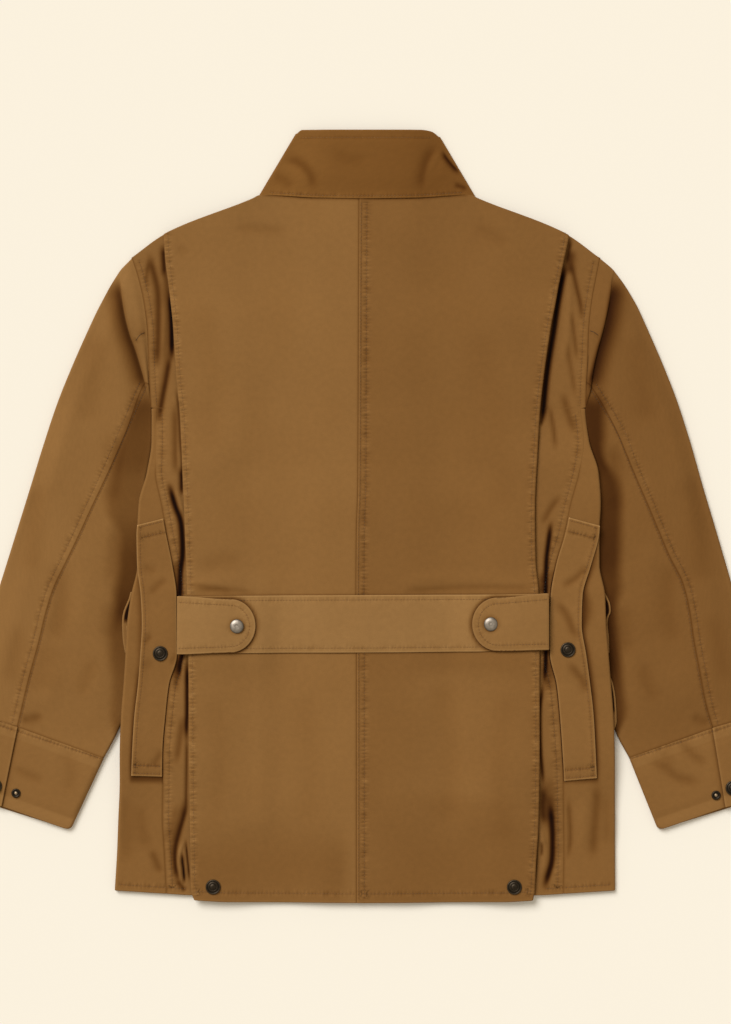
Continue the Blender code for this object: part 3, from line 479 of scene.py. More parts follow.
def smooth_line(places, values):
    """A curve through the values, without overshoot, as a function of place."""
    order = np.argsort(places)
    places = np.asarray(places, float)[order]
    values = np.asarray(values, float)[order]
    slopes = np.diff(values) / np.diff(places)
    product = slopes[:-1] * slopes[1:]
    both = np.where(product > 0, slopes[:-1] + slopes[1:], 1)
    inner = np.where(product > 0, 2 * product / both, 0)
    tangents = np.concatenate((slopes[:1], inner, slopes[-1:]))

    def curve(at):
        at = np.clip(at, places[0], places[-1])
        i = np.clip(np.searchsorted(places, at, "right") - 1, 0, len(places) - 2)
        width = places[i + 1] - places[i]
        t = (at - places[i]) / width
        rise = tangents[i] * width * t * (1 - t) ** 2
        fall = tangents[i + 1] * width * t**2 * (1 - t)
        return values[i] * (1 + 2 * t) * (1 - t) ** 2 + values[i + 1] * t**2 * (3 - 2 * t) + rise - fall

    return curve


def line_of(table):
    """The curve through a table of places and values."""
    return smooth_line(*zip(*table))


def columns_at(table, at):
    """Values of each column of a table, read at places between its first row and its last."""
    return [smooth_line(range(len(table)), column)(at) for column in zip(*table)]


def side_lines(table):
    """Curves for a table with the columns y, left, right."""
    y, left, right = zip(*table)
    return {"left": smooth_line(y, left), "right": smooth_line(y, right)}


def side_shade(table, side, y):
    """Darkness and width at y, from a table with the columns y and these two for each side."""
    heights, *columns = zip(*table)
    dark, width = columns[:2] if side == "left" else columns[2:]
    return smooth_line(heights, dark)(y), smooth_line(heights, width)(y)


def at_side(lines, x, y):
    """The absolute value of the left or the right curve, whichever side x is on."""
    return np.abs(np.where(x < 0, lines["left"](y), lines["right"](y)))


def noise(x, y, seed):
    """Random lumps between -1 and 1, one for each unit of x and y."""
    column, row = np.floor(x), np.floor(y)
    across, down = ramp(x - column, 0, 1), ramp(y - row, 0, 1)
    i = column.astype(int) + 37 * seed
    j = row.astype(int) + 91 * seed
    corner = lambda right, up: LATTICE[(i + right) % LATTICE_SIZE, (j + up) % LATTICE_SIZE]
    near, far = (mix(corner(0, up), corner(1, up), across) for up in (0, 1))
    return mix(near, far, down)


def stops(span, step, start=CLOSE, end=CLOSE):
    """Share and offset of the grid lines between two edges about span apart.

    start and end are the distances of the close lines beside each edge.
    """
    count = max(2, round((span - start[-1] - end[-1]) / step))
    between = np.linspace(0, 1, count + 1)[1:-1]
    share = np.concatenate((np.zeros(len(start)), between, np.ones(len(end))))
    offset = np.concatenate((start, mix(start[-1], -end[-1], between), -end[::-1]))
    return share, offset


def upright(lines):
    """Share and offset of grid lines as columns, for lines that follow each other down a piece."""
    return [values[:, None] for values in lines]


def evenly(count, last=1.0):
    """Share and offset of evenly spaced grid lines."""
    return np.linspace(0, last, count), np.zeros(count)


def smooth_route(points, pieces=6):
    """Points along a curve that passes through the given ones."""
    points = np.asarray(points, float)
    padded = np.vstack((2 * points[0] - points[1], points, 2 * points[-1] - points[-2]))
    t = np.arange(pieces)[:, None] / pieces
    parts = []
    for before, start, end, after in zip(padded, padded[1:], padded[2:], padded[3:]):
        bend = 2 * before - 5 * start + 4 * end - after
        twist = -before + 3 * start - 3 * end + after
        parts.append(start + 0.5 * (t * (end - before) + t**2 * bend + t**3 * twist))
    return np.vstack((*parts, points[-1:]))


def measure(route, x, y):
    """Distance from a route, positive to the left of it, the length along it and its whole length."""
    nearest = np.full(x.shape, np.inf)
    along = np.zeros(x.shape)
    signed = np.zeros(x.shape)
    steps = np.diff(route, axis=0)
    lengths = np.maximum(np.hypot(steps[:, 0], steps[:, 1]), 1e-6)
    before = np.concatenate(([0], np.cumsum(lengths)))
    for start, step, length, passed in zip(route, steps, lengths, before):
        share = np.clip(((x - start[0]) * step[0] + (y - start[1]) * step[1]) / length**2, 0, 1)
        off_x = x - start[0] - share * step[0]
        off_y = y - start[1] - share * step[1]
        distance = np.hypot(off_x, off_y)
        closer = distance < nearest
        nearest[closer] = distance[closer]
        side = np.where(step[0] * off_y - step[1] * off_x < 0, -1, 1)
        signed[closer] = (side * distance)[closer]
        along[closer] = (passed + share * length)[closer]
    return signed, along, before[-1]


def near_route(route, x, y, reach):
    """Which points lie in the box round a route and reach beyond it."""
    low = route.min(axis=0) - reach
    high = route.max(axis=0) + reach
    return (x > low[0]) & (x < high[0]) & (y > low[1]) & (y < high[1])


BODY_LINES = side_lines(BODY_SIDE)
SEAM_LINES = side_lines(SIDE_SEAM)
PLEAT_LINES = side_lines(PLEAT_EDGE)
STAND_LINES = side_lines(PLEAT_LIFT)
FLAP_LINES = side_lines(FLAP_OUTER)
POCKET_LINES = side_lines(POCKET_OUTER)
CENTRE_LINE = line_of(CENTRE_SEAM)
BACK_TOP_LINE = line_of(BACK_TOP)
FRONT_TOP_LINE = line_of(FRONT_TOP)
BACK_HEM_LINE = line_of(BACK_HEM)
SIDE_HEM_LINE = line_of(SIDE_HEM)
BELT_TOP_LINE = line_of(BELT_TOP)
BELT_BOTTOM_LINE = line_of(BELT_BOTTOM)

# ---- heights: the middle of each wall ----

# Where a layer under the body starts to lift it and where it has: from the middle, from above, from below.
SLEEVES_UNDER = ((120, 205), (118, 48), (-330, -256))
FLAPS_UNDER = ((90, 120), (-54, -87), (-185, -151))
POCKETS_UNDER = ((90, 120), (-87, -119), (-370, -330))
PLACKET_UNDER = (90, 38)
SLEEVE_HEIGHT = 2 * WALL + HOLLOW + GAP
SHOULDER = (267, 204)  # y over which the hollow opens
FULLNESS = 3.5  # how much higher the middle of the body stands
PLEAT_REACH = 16


def hollow(y):
    """Air between two walls: hardly any at the shoulders."""
    return mix(GAP, HOLLOW, ramp(y, *SHOULDER))


def layer_under(x, y, sideways, above, below):
    """1 where a layer lies under the body and 0 where it doesn't."""
    return ramp(np.abs(x), *sideways) * np.minimum(ramp(y, *above), ramp(y, *below))


def sleeve_lift(x, y):
    return SLEEVE_HEIGHT * layer_under(x, y, *SLEEVES_UNDER)


def pocket_base(x, y):
    return sleeve_lift(x, y) + LAYER * layer_under(x, y, *FLAPS_UNDER)


def placket_lift(x):
    return LAYER * ramp(np.abs(x), *PLACKET_UNDER)


def front_base(x, y):
    return pocket_base(x, y) + LAYER * layer_under(x, y, *POCKETS_UNDER) + placket_lift(x)


def unevenness(x, y):
    """Slight waves of the whole body, shared by all its walls so that they stay apart."""
    return 0.35 * noise(x / 47, y / 74, 1) + 0.16 * noise(x / 19, y / 26, 2)


def past_body(x, y):
    """How far a point lies outside the body's edge."""
    return np.abs(x) - at_side(BODY_LINES, x, y)


def in_pleat(x, y):
    """How far a point lies inside the edge of the centre back."""
    return at_side(PLEAT_LINES, x, y) - np.abs(x)


def upper_middle(x, y):
    """Side back, and the part of the front that has folded round the side."""
    full = FULLNESS * ramp(-past_body(x, y), 0, 120) * ramp(y, 352, 230) * ramp(y, -426, -300)
    return front_base(x, y) + WALL + hollow(y) + WALL / 2 + full + unevenness(x, y)


def back_middle(x, y):
    """Centre back, which lies on the side backs and stands off them at the pleats' edges."""
    layers = ramp(np.abs(x), 90, 150) + ramp(np.abs(x), 120, 170)
    stand = at_side(STAND_LINES, x, y) * bell(outside(in_pleat(x, y)), PLEAT_REACH)
    return upper_middle(x, y) + LAYER * layers + stand


# ---- creases, stitch rows and puckers in the cloth ----

CREASE_SPAN = 2.6  # how many widths away a crease is worked out
CREASE_TAPER = (0.3, 22)  # share of its length that an end takes to fade, and the most that it takes
BLACK_FROM = 0.9  # a painted gap shadow this dark is dark over its whole width
LUMPS = (  # strength, size along and across the stitch row, place and seed in the noise
    (1.0, 4.4, 11, 20, 3),
    (0.6, 2.3, 6, 50, 9),
)
ROW_END = (-0.1, 2)
ROW_TONE = 0.40  # painted shade and highlight: how much darker a dent of 1 mm is painted, and a bulge lighter
THREAD_PRESS = 1.2  # width of the line that the thread presses in
GATHER_STRENGTH = 3.0
GATHER_REACH = 0.8
FINE_ALONG, FINE_ACROSS = 3.4, 8.0  # size of the fine gathers along and across a stitch row
RUNGS = 5.1  # turns of the regular gathers in each step along the row


def crease(x, y, creases, fade=1.0):
    """Height and tone that the listed creases give."""
    height = np.zeros(x.shape)
    tone = np.ones(x.shape)
    fade = np.broadcast_to(fade, x.shape)
    share, longest = CREASE_TAPER
    for depth, left, right, dark, route in creases:
        route = smooth_route(route)
        spot = near_route(route, x, y, CREASE_SPAN * max(left, right))
        if not spot.any():
            continue
        away, along, length = measure(route, x[spot], y[spot])
        taper = min(share * length, longest)
        shape = bell(away, np.where(away > 0, left, right)) * fade[spot]
        shape = shape * ramp(along, 0, taper) * ramp(length - along, 0, taper)
        height[spot] += depth * shape
        if dark > BLACK_FROM:
            shape = 1 - (1 - shape) ** 2
        # painted shade in the crease, or a painted highlight where dark is below 0
        tone[spot] *= 1 - dark * shape
    return height, tone


def row_ends(along, length):
    """1 along a stitch row and 0 past its ends."""
    return ramp(along, *ROW_END) * ramp(length - along, *ROW_END)


def sew(x, y, height, tone, rows):
    """Presses stitch rows into the cloth and puckers it round them, with painted shade in the dents and a
    painted highlight on the bulges.

    Each row is (route, offset from it, pucker height, reach of the puckers, depth of its groove).
    """
    for number, (route, offset, pucker, reach, groove) in enumerate(rows):
        spot = near_route(route, x, y, abs(offset) + 2.5 * reach)
        if not spot.any():
            continue
        away, along, length = measure(route, x[spot], y[spot])
        from_row = away - offset
        lumps = sum(
            strength * noise(along / long, from_row / wide + place, number + seed)
            for strength, long, wide, place, seed in LUMPS
        )
        shape = pucker * lumps * bell(from_row, reach) - groove * bell(from_row, THREAD_PRESS)
        shape = shape * row_ends(along, length)
        height[spot] += shape
        tone[spot] *= 1 + ROW_TONE * shape


def relief(node, x, y, creases):
    """Height and tone, painted shade and highlight included, that a piece's creases and stitch rows give."""
    height, tone = crease(x, y, creases)
    sew(x, y, height, tone, SEAM_ROWS[node])
    return height, tone


def gathers(x, y, rows):
    """Place along and across the nearest stitch row, for its fine puckers, and their strength."""
    field = np.zeros((*x.shape, 3))
    for number, (route, offset, pucker, reach, _) in enumerate(rows):
        away, along, length = measure(route, x, y)
        from_row = away - offset
        around = bell(from_row, GATHER_REACH * reach) * row_ends(along, length)
        strength = GATHER_STRENGTH * pucker * around
        nearer = strength > field[..., 2]
        new = np.stack((along / FINE_ALONG, from_row / FINE_ACROSS + 17 * number, strength), axis=-1)
        field[nearer] = new[nearer]
    return field


def edge_wear_and_highlight(distance, amount=0.10, width=1.3):
    """Edges are painted lighter: rubbed wear, and a painted highlight where the rounded edge catches the
    light.
    """
    return 1 + amount * bell(distance, width)


# ---- meshes ----


def add_to_scene(name, data):
    made = bpy.data.objects.new(name, data)
    bpy.context.scene.collection.objects.link(made)
    return made


def add_vectors(mesh, name, vectors):
    data = mesh.attributes.new(name, "FLOAT_VECTOR", "POINT").data
    data.foreach_set("vector", vectors.astype(np.float32).ravel())


def new_object(name, points, faces, tone, cloth, material, pucker=None):
    """A piece of the jacket. Its tone, cloth coordinates and puckers go to its material."""
    mesh = bpy.data.meshes.new(name)
    mesh.from_pydata((points * MM).tolist(), [], faces)
    mesh.shade_smooth()
    add_vectors(mesh, "tone", tone)
    add_vectors(mesh, "cloth", cloth * MM)
    if pucker is not None:
        add_vectors(mesh, "pucker", pucker)
    mesh.materials.append(material)
    piece = add_to_scene(name, mesh)
    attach(piece, "root")
    return piece


def running_length(middle, axis):
    """Length along the rows (axis 1) or the columns (axis 0) of a grid of points, from their start."""
    lengths = np.linalg.norm(np.diff(middle, axis=axis), axis=2)
    pad = [(0, 0), (0, 0)]
    pad[axis] = (1, 0)
    return np.pad(np.cumsum(lengths, axis=axis), pad)


def grain_of(middle, grain):
    """Cloth coordinates along and across the grain, so that the weave goes round the folds.

    grain is "plan" where the weave lines up with the plan, "own" for a piece that lies askew and "flat"
    for one without a fold.
    """
    if grain == "flat":
        across, down = np.abs(middle[..., 0]), -middle[..., 1]
    else:
        across, down = running_length(middle, 1), running_length(middle, 0)
    if grain == "plan":
        across = across + np.abs(middle[:, :1, 0])
        down = down - middle[:1, :, 1]
    return np.stack((across, down, np.zeros(across.shape)), axis=2)


def open_edges(index, cells):
    """Directed edges on the border of the used cells, and the faces of these cells."""
    rows, columns = index.shape
    around = np.pad(cells, 1)
    a, b, c, d = index[:-1, :-1], index[:-1, 1:], index[1:, 1:], index[1:, :-1]
    edges = []
    for start, end, down, across in ((a, b, -1, 0), (b, c, 0, 1), (c, d, 1, 0), (d, a, 0, -1)):
        beyond = around[1 + down : rows + down, 1 + across : columns + across]
        free = cells & ~beyond
        edges.append(np.stack((start[free], end[free]), axis=1))
    return np.concatenate(edges), np.stack((a[cells], b[cells], c[cells], d[cells]), axis=1)


def shell(name, middle, tone, pucker, material, cells, grain):
    """A closed thin wall round a grid of middle points, with rolled edges. cells says which cells it has."""
    rows, columns = middle.shape[:2]
    if cells is None:
        cells = np.ones((rows - 1, columns - 1), bool)
    normal = unit(np.cross(np.gradient(middle, axis=1), np.gradient(middle, axis=0))).reshape(-1, 3)
    edges, tops = open_edges(np.arange(rows * columns).reshape(rows, columns), cells)
    points = middle.reshape(-1, 3)
    start, end = edges.T
    outward = unit(np.cross(points[end] - points[start], normal[start] + normal[end]))
    push = np.zeros(points.shape)
    np.add.at(push, start, outward)
    np.add.at(push, end, outward)
    border = np.unique(edges)
    far = len(points)
    rim = np.zeros(far, int)
    rim[border] = 2 * far + np.arange(len(border))
    rims = points[border] + unit(push[border]) * THICK / 2
    quads = np.concatenate(
        (
            tops,
            tops[:, ::-1] + far,
            np.stack((end, start, rim[start], rim[end]), axis=1),
            np.stack((rim[end], rim[start], start + far, end + far), axis=1),
        )
    )
    everything = np.concatenate((points + normal * THICK / 2, points - normal * THICK / 2, rims))
    used, quads = np.unique(quads, return_inverse=True)
    tone = np.clip(tone, 0.01, 2).reshape(-1, 1) ** np.array(DEEPENING)
    weave = grain_of(middle, grain).reshape(-1, 3)
    tone, weave, pucker = (
        np.concatenate((part, part, part[border]))[used] for part in (tone, weave, pucker.reshape(-1, 3))
    )
    return new_object(name, everything[used], quads.reshape(-1, 4).tolist(), tone, weave, material, pucker)


def frame_slot(node):
    """The material slot that the frame gives a node."""
    for part in frame["record"]["subparts"]:
        if part["node"] == node:
            return part["material_slot"]
    return "body_twill"


def add_cloth(node, x, y, z, tone, material, cells=None, grain="plan"):
    """The cloth piece that stands for a CAD node."""
    wear = 1 + 0.02 * noise(x / 31, y / 38, 5)
    pucker = gathers(x, y, SEAM_ROWS.get(node, ()))
    tone = tone * wear * PIECE_LIGHTING.get(node, 1.0)
    piece = shell(f"cloth_{node}", np.stack((x, y, z), axis=2), tone, pucker, material, cells, grain)
    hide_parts(node)
    frame_slot(node)
    return piece


def join(blocks):
    """Puts blocks of (x, y, z, tone) side by side."""
    return [np.concatenate(parts, axis=1) for parts in zip(*blocks)]


# ---- body ----

ROW_STEP = 2.4
UPPER_ROWS = stops(205, ROW_STEP, CLOSE, PLAIN)
LOWER_ROWS = stops(535, ROW_STEP, PLAIN, CLOSE)
UPPER_COUNT = len(UPPER_ROWS[0])
FIRST_TOP, FIRST_HEM = 300, -415  # where the rows are taken to end before their x is known
BODY_ROUNDS = 7  # x and y are found from each other in this many rounds
ARC = np.pi * (0.5 - np.arange(1, FOLD_STEPS) / FOLD_STEPS)  # angles round a fold, from its upper side
BELT_AT = -119  # y of its middle
BELT_HALF = 28
PANEL_WIDTH = 195
UNDERSIDE_BENDS = 205  # distance from the middle where its grid starts to follow the edge
HIDDEN_TONE = 0.8  # painted shade of the cloth hidden in the pleat


def body_block(side, inner, outer, across, top, hem):
    """X and Y of a block of a body piece's grid, between two lines that give X at a Y.

    One row lies at the underarm in every piece.
    """
    share, offset = across
    upper_share, upper_offset = upright(UPPER_ROWS)
    lower_share, lower_offset = (values[1:] for values in upright(LOWER_ROWS))
    first = (mix(FIRST_TOP, UNDERARM, upper_share), mix(UNDERARM, FIRST_HEM, lower_share))
    y = np.concatenate(first) + 0 * share
    for _ in range(BODY_ROUNDS):
        x = mix(inner(y), outer(y), share) + SIDES[side] * offset
        distance = np.abs(x)
        upper = mix(top(distance[:UPPER_COUNT]), UNDERARM, upper_share) - upper_offset
        lower = mix(UNDERARM, hem(distance[UPPER_COUNT:]), lower_share) - lower_offset
        y = np.concatenate((upper, lower))
    return x, y


def fixed_line(side, distance):
    return lambda y: SIDES[side] * distance + 0 * y


def moved_line(line, side, offset):
    return lambda y: line(y) + SIDES[side] * offset


def mirrored_line(side, line):
    """A line on one side, from one that gives its distance from the middle."""
    return lambda y: SIDES[side] * line(y)


def outer_edge(side, below):
    """The armhole's edge down to the underarm, and another line below it."""
    armhole = moved_line(BODY_LINES[side], side, -SEAM)
    return lambda y: np.where(y > UNDERARM + 0.01, armhole(y), below(y))


def add_back(side, material):
    """Centre back panel, from the centre seam to the pleat, with the cloth turned under there."""
    radius = LAYER / 2
    inner = moved_line(CENTRE_LINE, side, SEAM)
    turn = moved_line(PLEAT_LINES[side], side, -(radius + THICK / 2))
    lines = (BACK_TOP_LINE, BACK_HEM_LINE)
    x, y = body_block(side, inner, turn, stops(PANEL_WIDTH, 3.4), *lines)
    height, tone = relief(f"back_{side}", x, y, BACK_CREASES)
    tone = tone * back_tone(side, x, y)
    face = (x, y, back_middle(x, y) + height + centre_lap(side, x, y), tone)
    x, y = body_block(side, turn, turn, (0 * ARC, radius * np.cos(ARC)), *lines)
    top = back_middle(turn(y), y) + height[:, -1:]
    fold = (x, y, top - radius + radius * np.sin(ARC), tone[:, -1:] + 0 * x)
    x, y = body_block(side, turn, fixed_line(side, RETURN_LINE), evenly(9), *lines)
    height = crease(x, y, BACK_CREASES)[0]
    under = (x, y, back_middle(x, y) + height - 2 * radius, HIDDEN_TONE + 0 * x)
    return add_cloth(f"back_{side}", *join((face, fold, under)), material)


def centre_lap(side, x, y):
    """The right panel's fold laps over the left panel at the centre seam."""
    away = np.abs(x - CENTRE_LINE(y))
    return 0.55 * bell(away, 5.0) if side == "right" else -0.35 * bell(away, 2.2)


def back_tone(side, x, y):
    """Lighter edges of a back panel, from wear and a painted highlight, its shade in the seams, and painted
    shadow at the collar and beside the belt.
    """
    away = np.abs(x - CENTRE_LINE(y))
    hem = y - BACK_HEM_LINE(np.abs(x))
    neck = BACK_TOP_LINE(np.abs(x)) - y
    centre = edge_wear_and_highlight(away, 0.16) if side == "right" else 1 - 0.55 * bell(away, 1.5)
    # painted shadow under the collar's edge
    neck_dark = 1 - 0.30 * bell(neck, 1.6) * ramp(np.abs(x), 118, 108)
    # painted contact shadow above and below the belt
    above = bell(outside(y - BELT_TOP_LINE(x)), 1.6) * (y >= BELT_AT)
    below = bell(outside(BELT_BOTTOM_LINE(x) - y), 1.4) * (y <= BELT_AT)
    edges = edge_wear_and_highlight(in_pleat(x, y), 0.08, 0.8) * edge_wear_and_highlight(hem, 0.12)
    return centre * edges * neck_dark * (1 - 0.35 * above - 0.35 * below)


def side_surface(x, y):
    """Height and tone, with the painted shade of its creases and gaps, of the side back and of the front
    folded round the side.
    """
    height, tone = crease(x, y, SIDE_CREASES, ramp(-in_pleat(x, y), -8, -1))
    under_belt = bell(outside(np.abs(y - BELT_AT) - BELT_HALF), 7) * (np.abs(x) < 206)
    return np.maximum(height * (1 - 0.8 * under_belt), -0.8), tone


def side_seam_line(side, towards):
    """Edge of the side back (towards -1) or the front (1) at the side seam, which shows below the armhole."""
    return lambda y: SEAM_LINES[side](y) + SIDES[side] * towards * mix(0.04, 0.14, ramp(y, 62, 40))


def seam_dark(rim, y):
    """The side seam is a dark line below the armhole."""
    return 1 - 0.22 * bell(rim, 1.0) * ramp(y, 66, 44)


def beside_welt(side, x, y):
    """Painted shade on the front's fold where it turns under beside the welt."""
    dark, width = side_shade(WELT_SHADES, side, y)
    away = outside(np.abs(x) - np.abs(line_of(WELT_OUTER[side])(y)))
    return 1 - dark * bell(away, width) * ramp(y, -10, -18) * ramp(y, -296, -288)


def add_side_back(side, material):
    """From the armhole and the side seam to the inner end of the pleat underlay."""
    pleat = moved_line(PLEAT_LINES[side], side, -4)
    outer = outer_edge(side, side_seam_line(side, -1))
    lines = (BACK_TOP_LINE, SIDE_HEM_LINE)
    x, y = body_block(side, fixed_line(side, UNDERLAY_LINE), pleat, evenly(7, 0.88), *lines)
    underlay = (x, y, upper_middle(x, y), HIDDEN_TONE + 0 * x)
    even, offset = evenly(27)
    share = mix(even, 0.5 - 0.5 * np.cos(np.pi * even), 0.55)
    x, y = body_block(side, pleat, outer, (share, offset), *lines)
    height, tone = side_surface(x, y)
    sew(x, y, height, tone, SEAM_ROWS[f"side_back_{side}"])
    rim = np.abs(outer(y) - x)
    hem = y - SIDE_HEM_LINE(np.abs(x))
    tone = tone * np.where(y > UNDERARM, 1 - 0.30 * bell(rim, 1.0), seam_dark(rim, y)) * edge_wear_and_highlight(hem)
    face = (x, y, upper_middle(x, y) + height, tone)
    return add_cloth(f"side_back_{side}", *join((underlay, face)), material)


def add_front(side, material):
    """Front panel underneath, folded round the side and up to the side seam."""
    blocks = [*front_under(side), front_fold(side), front_face(side)]
    under_columns = sum(block[0].shape[1] for block in blocks[:2])
    x, y, z, tone = join(blocks)
    cells = np.ones((x.shape[0] - 1, x.shape[1] - 1), bool)
    cells[: UPPER_COUNT - 1, under_columns - 1 :] = False
    return add_cloth(f"front_{side}", x, y, z, tone, material, cells)


def fold_radius(y):
    return (WALL + hollow(y)) / 2


def front_turn(side):
    """Where the front begins to fold round the side."""
    return lambda y: BODY_LINES[side](y) - SIDES[side] * (fold_radius(y) + THICK / 2)


def front_under(side):
    """The hidden underside, in two blocks that meet where the outer one starts to follow the edge."""
    middle, turning = fixed_line(side, SEAM), fixed_line(side, UNDERSIDE_BENDS)
    for inner, outer, share in (
        (middle, turning, np.linspace(0, 1, 26)),
        (turning, outer_edge(side, front_turn(side)), np.linspace(0, 1, 9)[1:]),
    ):
        x, y = body_block(side, inner, outer, (share, 0 * share), FRONT_TOP_LINE, SIDE_HEM_LINE)
        height, tone = crease(x, y, FRONT_CREASES)
        yield x, y, front_base(x, y) + WALL / 2 + height, tone


def front_fold(side):
    turn = front_turn(side)
    x, y = body_block(side, turn, turn, (0 * ARC, 0 * ARC), FRONT_TOP_LINE, SIDE_HEM_LINE)
    low = front_base(x, y) + WALL / 2
    high = upper_middle(x, y)
    swing = ARC[::-1]
    z = (high + low) / 2 + (high - low) / 2 * np.sin(swing)
    return x + SIDES[side] * fold_radius(y) * np.cos(swing), y, z, edge_wear_and_highlight(0, 0.08) + 0 * x


def front_face(side):
    """The part that shows, from the fold to the side seam."""
    turn, seam = front_turn(side), side_seam_line(side, 1)
    x, y = body_block(side, turn, seam, evenly(24), FRONT_TOP_LINE, SIDE_HEM_LINE)
    height, tone = side_surface(x, y)
    sew(x, y, height, tone, SEAM_ROWS[f"front_{side}"])
    hem = y - SIDE_HEM_LINE(np.abs(x))
    height = height * ramp(np.abs(x - turn(y)), 0, 5)
    tone = tone * seam_dark(np.abs(seam(y) - x), y) * edge_wear_and_highlight(hem) * beside_welt(side, x, y)
    return x, y, upper_middle(x, y) + height, tone


def add_panel(node, inner, outer, heights, base, material):
    """A flat piece of the underside, between two lines that give X at a Y.

    Only the rim of a piece in HOLES shows; beside it, its opening is painted dark as a shadow.
    """
    top, bottom = heights
    share, offset = stops(abs(outer(0) - inner(0)), 5, PLAIN, CLOSE)
    down, drop = upright(stops(top - bottom, 3.0))
    y = mix(top, bottom, down) - drop + 0 * share
    x = mix(inner(y), outer(y), share) + np.sign(outer(0) - inner(0)) * offset
    rim = np.minimum.reduce((np.abs(x - inner(y)), np.abs(outer(y) - x), top - y, y - bottom))
    tone = edge_wear_and_highlight(rim, 0.25, 0.8) * (1 - 0.12 * bell(rim - 6, 1.6))
    # painted shadow in the opening beside the rim
    if node in HOLES:
        high, low = HOLES[node]
        beside_edge = ramp(rim, 0.8, 1.6) * ramp(np.abs(outer(y) - x), 14, 9)
        tone = tone * (1 - 0.95 * beside_edge * ramp(y, low - 4, low) * ramp(y, high + 4, high))
    return add_cloth(node, x, y, base(x, y) + WALL / 2, tone, material)


def add_pocket(side, material):
    """Bellows pocket and its flap, of which only the outer edges show past the body."""
    made = {}
    for node, start, lines, heights, base in (
        (f"pocket_flap_{side}", FLAP_INNER, FLAP_LINES, FLAP_HEIGHTS, sleeve_lift),
        (f"pocket_{side}", POCKET_INNER, POCKET_LINES, POCKET_HEIGHTS, pocket_base),
    ):
        inner, outer = fixed_line(side, start), mirrored_line(side, lines[side])
        made[node] = add_panel(node, inner, outer, heights, base, material)
    return made


def add_placket(material):
    """The fly over the front closure, along the middle of the underside."""
    left, right = (fixed_line(side, PLACKET_HALF_WIDTH) for side in SIDES)
    return add_panel("front_placket", left, right, PLACKET_HEIGHTS, lambda x, y: 0 * x, material)


def welt_lines(side):
    """Its inner and its outer edge."""
    return moved_line(SEAM_LINES[side], side, WELT_SETBACK), line_of(WELT_OUTER[side])


def add_welt(side, material):
    """Stitched strip beside the side seam, with a doubled bar at its top and bottom."""
    inner, outer = welt_lines(side)
    across, shift = stops(WELT_WIDTH, 2.2)
    down, drop = upright(stops(WELT_LENGTH, 3.0))
    y = mix(-8.0, -286.0, down) + 0 * across
    for _ in range(5):
        x = mix(inner(y), outer(y), across) + SIDES[side] * shift
        place = np.clip((x - inner(y)) / (outer(y) - inner(y)), 0, 1)
        top, bottom = mix(*WELT_TOP[side], place), mix(*WELT_BOTTOM[side], place)
        y = mix(top, bottom, down) - drop
    height, tone = relief(f"welt_{side}", x, y, WELT_CREASES)
    high, low = WELT_BARS
    bars = np.maximum(ramp(top - y, high + 1, high - 1), ramp(y - bottom, low + 1, low - 1))
    edge = np.abs(outer(y) - x)
    ends = edge_wear_and_highlight(top - y, 0.45, 0.8) * edge_wear_and_highlight(y - bottom, 0.40, 0.8)
    tone = tone * ends * edge_wear_and_highlight(edge, 0.45, 0.7) * edge_wear_and_highlight(inner(y) - x, 0.20, 0.8)
    z = upper_middle(x, y) + WELT_RISE + 0.4 * bars + 0.7 * bell(edge - 3, 4) + height
    return add_cloth(f"welt_{side}", x, y, z, tone, material)


# ---- belt ----

BELT_RISE = 1.8
BELT_SPAN = (406, 63)  # its length and its depth
TAB_SPAN = 70
TAB_ROWS = 44
TAB_WIDENS = (28, 84)  # distances from its tip between which it gets wider


def add_belt(material):
    across, shift = stops(BELT_SPAN[0], 3.2)
    down, drop = upright(stops(BELT_SPAN[1], 2.6))
    x = mix(BELT_ENDS["left"], BELT_ENDS["right"], across) + shift + 0 * down
    top, bottom = BELT_TOP_LINE(x), BELT_BOTTOM_LINE(x)
    y = mix(top, bottom, down) - drop
    height = 0.3 * noise(x / 26, y / 20, 7) + 0.12 * noise(x / 9, y / 8, 8)
    tone = 1 + 0.015 * noise(x / 40, y / 21, 6)
    sew(x, y, height, tone, SEAM_ROWS["belt"])
    rim = np.minimum(top - y, y - bottom)
    tone = tone * edge_wear_and_highlight(rim, 0.22, 0.8)
    # painted shadow that each tab casts on the belt, round its edge
    for side in SIDES:
        tone = tone * (1 - 0.72 * bell(off_tab(side, x, y), 3.4))
    z = back_middle(x, y) + BELT_RISE + 0.6 * ramp(rim, 0, 12) + height
    return add_cloth("belt", x, y, z, tone, material)


def off_tab(side, x, y):
    """How far a point lies outside a tab's rounded edge, and 0 inside it."""
    to_turn = outside(SIDES[side] * (TAB_TIPS[side] - x) + TAB_TURN)
    off_middle = (y - TAB_MIDDLE[side]) / TAB_HALF
    return outside(np.hypot(to_turn / TAB_TURN, off_middle) - 1) * TAB_HALF


def tab_outline(side, turns, inset=0.0):
    """Points round a tab's edge, from its upper edge to its lower one."""
    turn = np.linspace(np.pi / 2, -np.pi / 2, turns)
    sign = SIDES[side]
    tip = TAB_TIPS[side] + sign * inset
    x = tip + sign * (TAB_TURN - inset) * (1 - np.cos(turn))
    return x, TAB_MIDDLE[side] + (TAB_HALF - inset) * np.sin(turn)


